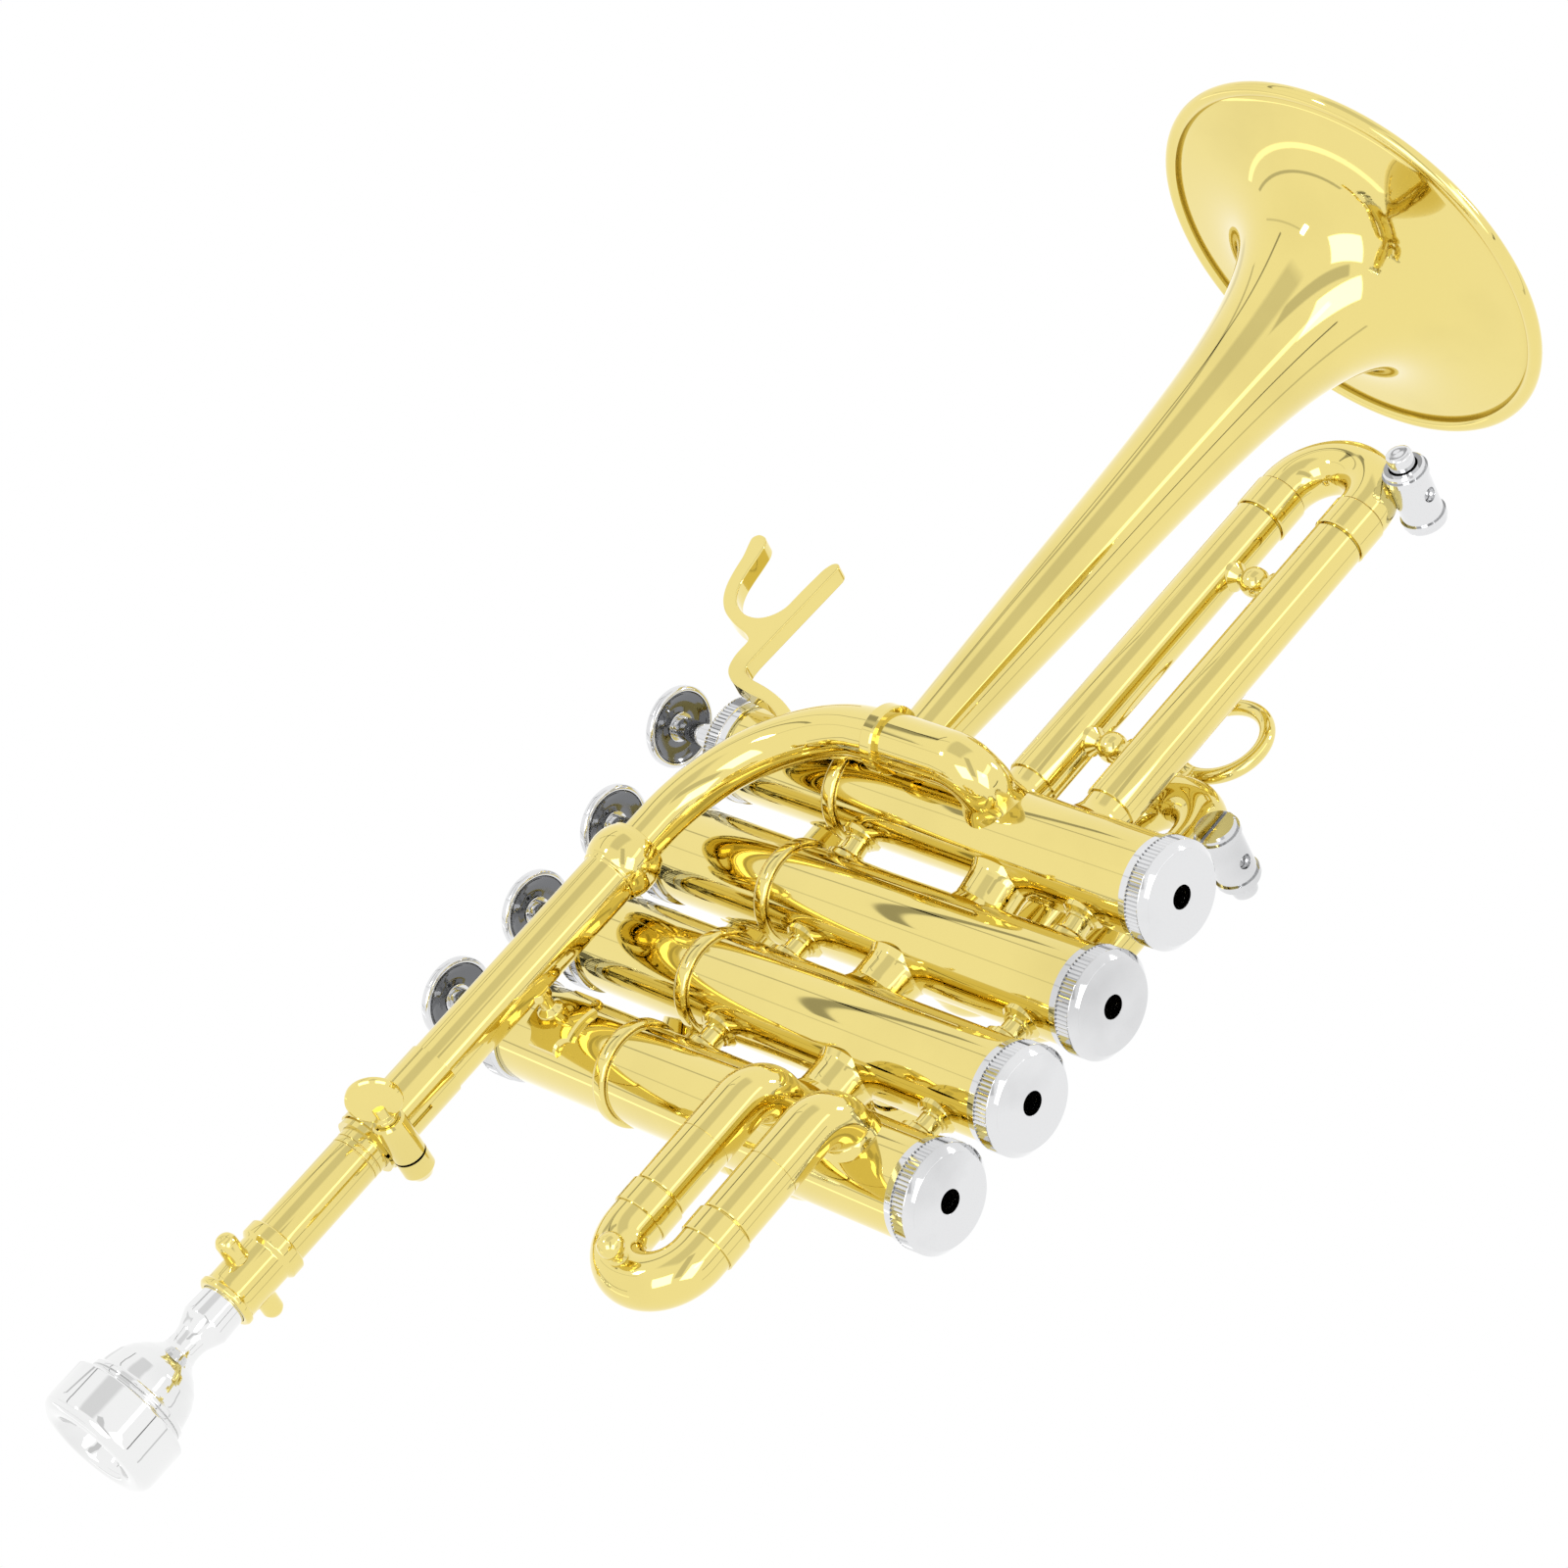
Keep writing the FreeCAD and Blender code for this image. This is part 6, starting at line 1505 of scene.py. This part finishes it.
@dataclass
class Studio:
    """Camera, lights, floor and surroundings."""

    eye: Spot = (-326.9, -656.3, -613.3)
    right: Spot = (0.6161, 0.3835, -0.6879)
    down: Spot = (-0.6900, 0.6841, -0.2366)
    forward: Spot = (0.3799, 0.6205, 0.6861)
    lens: float = 116.67
    pale: float = 1.0
    tent: float = 1.42
    panels: list[Panel] = field(default_factory=lambda: [
        Panel((-0.37, 0.15, -0.86), 13, 15, 1, 2.6, 8),
        Panel((0.34, 0.12, -0.88), 12, 17, 1, 2.6, -12),
        Panel((-0.02, -0.25, -0.97), 6, 24, 2, -0.5),
        Panel((0.62, -0.3, -0.72), 3.5, 26, 1.5, 1.2, -48),
        Panel((0.81, 0.1, -0.58), 0.9, 15, 0.5, -1.2, -43.1),
        Panel((-0.15, -0.87, -0.45), 16, 27, 6, -0.36, -28),
        Panel((-0.6, -0.79, 0.11), 1.3, 26, 0.6, -0.9, 29.8),
        Panel((-0.38, -0.34, 0.86), 4, 6, 3, -0.25),
        Panel((-0.52, -0.83, 0.17), 1.0, 22, 0.6, -0.6, 150),
        Panel((-0.95, 0.27, 0.12), 1.1, 24, 0.6, -0.6, 52),
        Panel((-0.85, 0.45, 0.28), 1.4, 24, 0.6, 0.7, 36),
        Panel((-0.93, -0.36, -0.08), 0.8, 24, 0.5, -0.35, 90.6),
        Panel((0.94, 0.32, -0.11), 1.5, 26, 0.6, -0.5, -28.3),
    ])
    target: Spot = (70.0, 0.0, 70.0)
    lamps: tuple[Lamp, ...] = (Lamp("key", -0.9, 0.5, 0.5, 1.0), Lamp("rim", 0.9, 0.6, 0.1, 1.2))
    floor_half: float = 4.0
    floor_drop: float = 0.0002

    def build(self) -> None:
        """Set up everything but the object."""
        self._camera()
        self._world()
        self._lights()
        self._floor()

    def _camera(self) -> None:
        """The camera at the photograph's viewing angle."""
        data = bpy.data.cameras.new("camera")
        data.lens = self.lens
        data.sensor_width = 36.0
        data.clip_start = 0.01
        data.clip_end = 100.0
        camera = bpy.data.objects.new("camera", data)
        across, up, back = Vector(self.right), -Vector(self.down), -Vector(self.forward)
        turn = Matrix((across, up, back)).transposed().to_4x4()
        camera.matrix_world = Matrix.Translation(Vector(self.eye) * MM) @ turn
        bpy.context.scene.collection.objects.link(camera)
        bpy.context.scene.camera = camera

    def _world(self) -> None:
        """A pale light tent: plain to the camera, with softer and brighter walls for the metal."""
        world = bpy.data.worlds.new("studio")
        world.use_nodes = True
        bpy.context.scene.world = world
        tree = world.node_tree
        tree.nodes.clear()
        out = tree.nodes.new("ShaderNodeOutputWorld")
        coords = tree.nodes.new("ShaderNodeTexCoord")
        level = self.tent
        for panel in self.panels:
            level = maths(tree, "ADD", self._panel(tree, coords.outputs["Generated"], panel), level)
        lit = tree.nodes.new("ShaderNodeBackground")
        tree.links.new(level, lit.inputs["Strength"])
        plain = tree.nodes.new("ShaderNodeBackground")
        plain.inputs["Color"].default_value = (self.pale, self.pale, self.pale, 1.0)
        path = tree.nodes.new("ShaderNodeLightPath")
        mix = tree.nodes.new("ShaderNodeMixShader")
        tree.links.new(path.outputs["Is Camera Ray"], mix.inputs[0])
        tree.links.new(lit.outputs[0], mix.inputs[1])
        tree.links.new(plain.outputs[0], mix.inputs[2])
        tree.links.new(mix.outputs[0], out.inputs["Surface"])

    def _panel(self, tree: bpy.types.NodeTree, direction: object, panel: Panel) -> object:
        """The light that one panel of the tent adds, as a socket.

        Args:
            tree: the world's node tree.
            direction: the socket with the ray's direction.
            panel: the panel.

        Returns:
            The socket with the added strength.
        """
        across, lower, ahead = panel.towards
        centre = Vector(self.right) * across + Vector(self.down) * lower + Vector(self.forward) * ahead
        centre.normalize()
        level = Vector(self.down).cross(centre).normalized()
        side = Quaternion(centre, math.radians(panel.roll)) @ level
        depth = self._along(tree, direction, centre)
        shares = []
        for axis, half in ((side, panel.wide), (centre.cross(side), panel.tall)):
            slope = maths(tree, "DIVIDE", self._along(tree, direction, axis), depth)
            edge, inside = (math.tan(math.radians(half + way * panel.soft / 2)) for way in (1, -1))
            shares.append(band(tree, maths(tree, "ABSOLUTE", slope, 0.0), inside, edge, 1.0, 0.0))
        shown = maths(tree, "MULTIPLY", shares[0], shares[1])
        shown = maths(tree, "MULTIPLY", shown, maths(tree, "GREATER_THAN", depth, 0.0))
        return maths(tree, "MULTIPLY", shown, panel.gain)

    @staticmethod
    def _along(tree: bpy.types.NodeTree, direction: object, axis: Vector) -> object:
        """How far the ray's direction points along an axis, as a socket.

        Args:
            tree: the world's node tree.
            direction: the socket with the ray's direction.
            axis: the direction to measure along.

        Returns:
            The node's output socket.
        """
        dot = tree.nodes.new("ShaderNodeVectorMath")
        dot.operation = "DOT_PRODUCT"
        dot.inputs[1].default_value = axis
        tree.links.new(direction, dot.inputs[0])
        return dot.outputs["Value"]

    def _lights(self) -> None:
        """Two small lamps that add sparkle to small forms."""
        target = Vector(self.target) * MM
        across, up, back = Vector(self.right), -Vector(self.down), -Vector(self.forward)
        for lamp in self.lamps:
            data = bpy.data.lights.new(lamp.name, "AREA")
            data.shape = "RECTANGLE"
            data.size = lamp.size
            data.size_y = lamp.size * 0.6
            data.energy = lamp.power
            light = bpy.data.objects.new(lamp.name, data)
            place = target + (across * lamp.side + up * lamp.height + back * lamp.depth)
            light.location = place
            light.rotation_euler = (place - target).to_track_quat("Z", "Y").to_euler()
            bpy.context.scene.collection.objects.link(light)

    def _floor(self) -> None:
        """A pale floor under the caps that is open when seen from below."""
        data = bpy.data.meshes.new("floor")
        corners = [(x * self.floor_half, y * self.floor_half, -self.floor_drop)
                   for x, y in ((-1, -1), (1, -1), (1, 1), (-1, 1))]
        data.from_pydata(corners, [], [(0, 1, 2, 3)])
        floor = bpy.data.objects.new("floor", data)
        bpy.context.scene.collection.objects.link(floor)
        made = bpy.data.materials.new("floor")
        made.use_nodes = True
        tree = made.node_tree
        shader = tree.nodes["Principled BSDF"]
        shader.inputs["Base Color"].default_value = (0.82, 0.82, 0.81, 1.0)
        shader.inputs["Roughness"].default_value = 0.85
        clear = tree.nodes.new("ShaderNodeBsdfTransparent")
        side = tree.nodes.new("ShaderNodeNewGeometry")
        path = tree.nodes.new("ShaderNodeLightPath")
        front = maths(tree, "SUBTRACT", 1.0, side.outputs["Backfacing"])
        shown = maths(tree, "MULTIPLY", front, path.outputs["Is Camera Ray"])
        mix = tree.nodes.new("ShaderNodeMixShader")
        tree.links.new(shown, mix.inputs[0])
        tree.links.new(clear.outputs[0], mix.inputs[1])
        tree.links.new(shader.outputs[0], mix.inputs[2])
        tree.links.new(mix.outputs[0], tree.nodes["Material Output"].inputs["Surface"])
        data.materials.append(made)


def main() -> None:
    """Build every sub-assembly, then the studio."""
    logging.basicConfig(level=logging.INFO)
    bpy.context.scene.view_settings.view_transform = "Standard"
    shop = Workshop()
    for part in (ValveBlock(), Mouthpipe(), Bell(), Slides(), WaterKeys(), FingerHook()):
        part.build(shop)
        log.info("%s done", type(part).__name__)
    Studio().build()


if __name__ == "__main__":
    main()
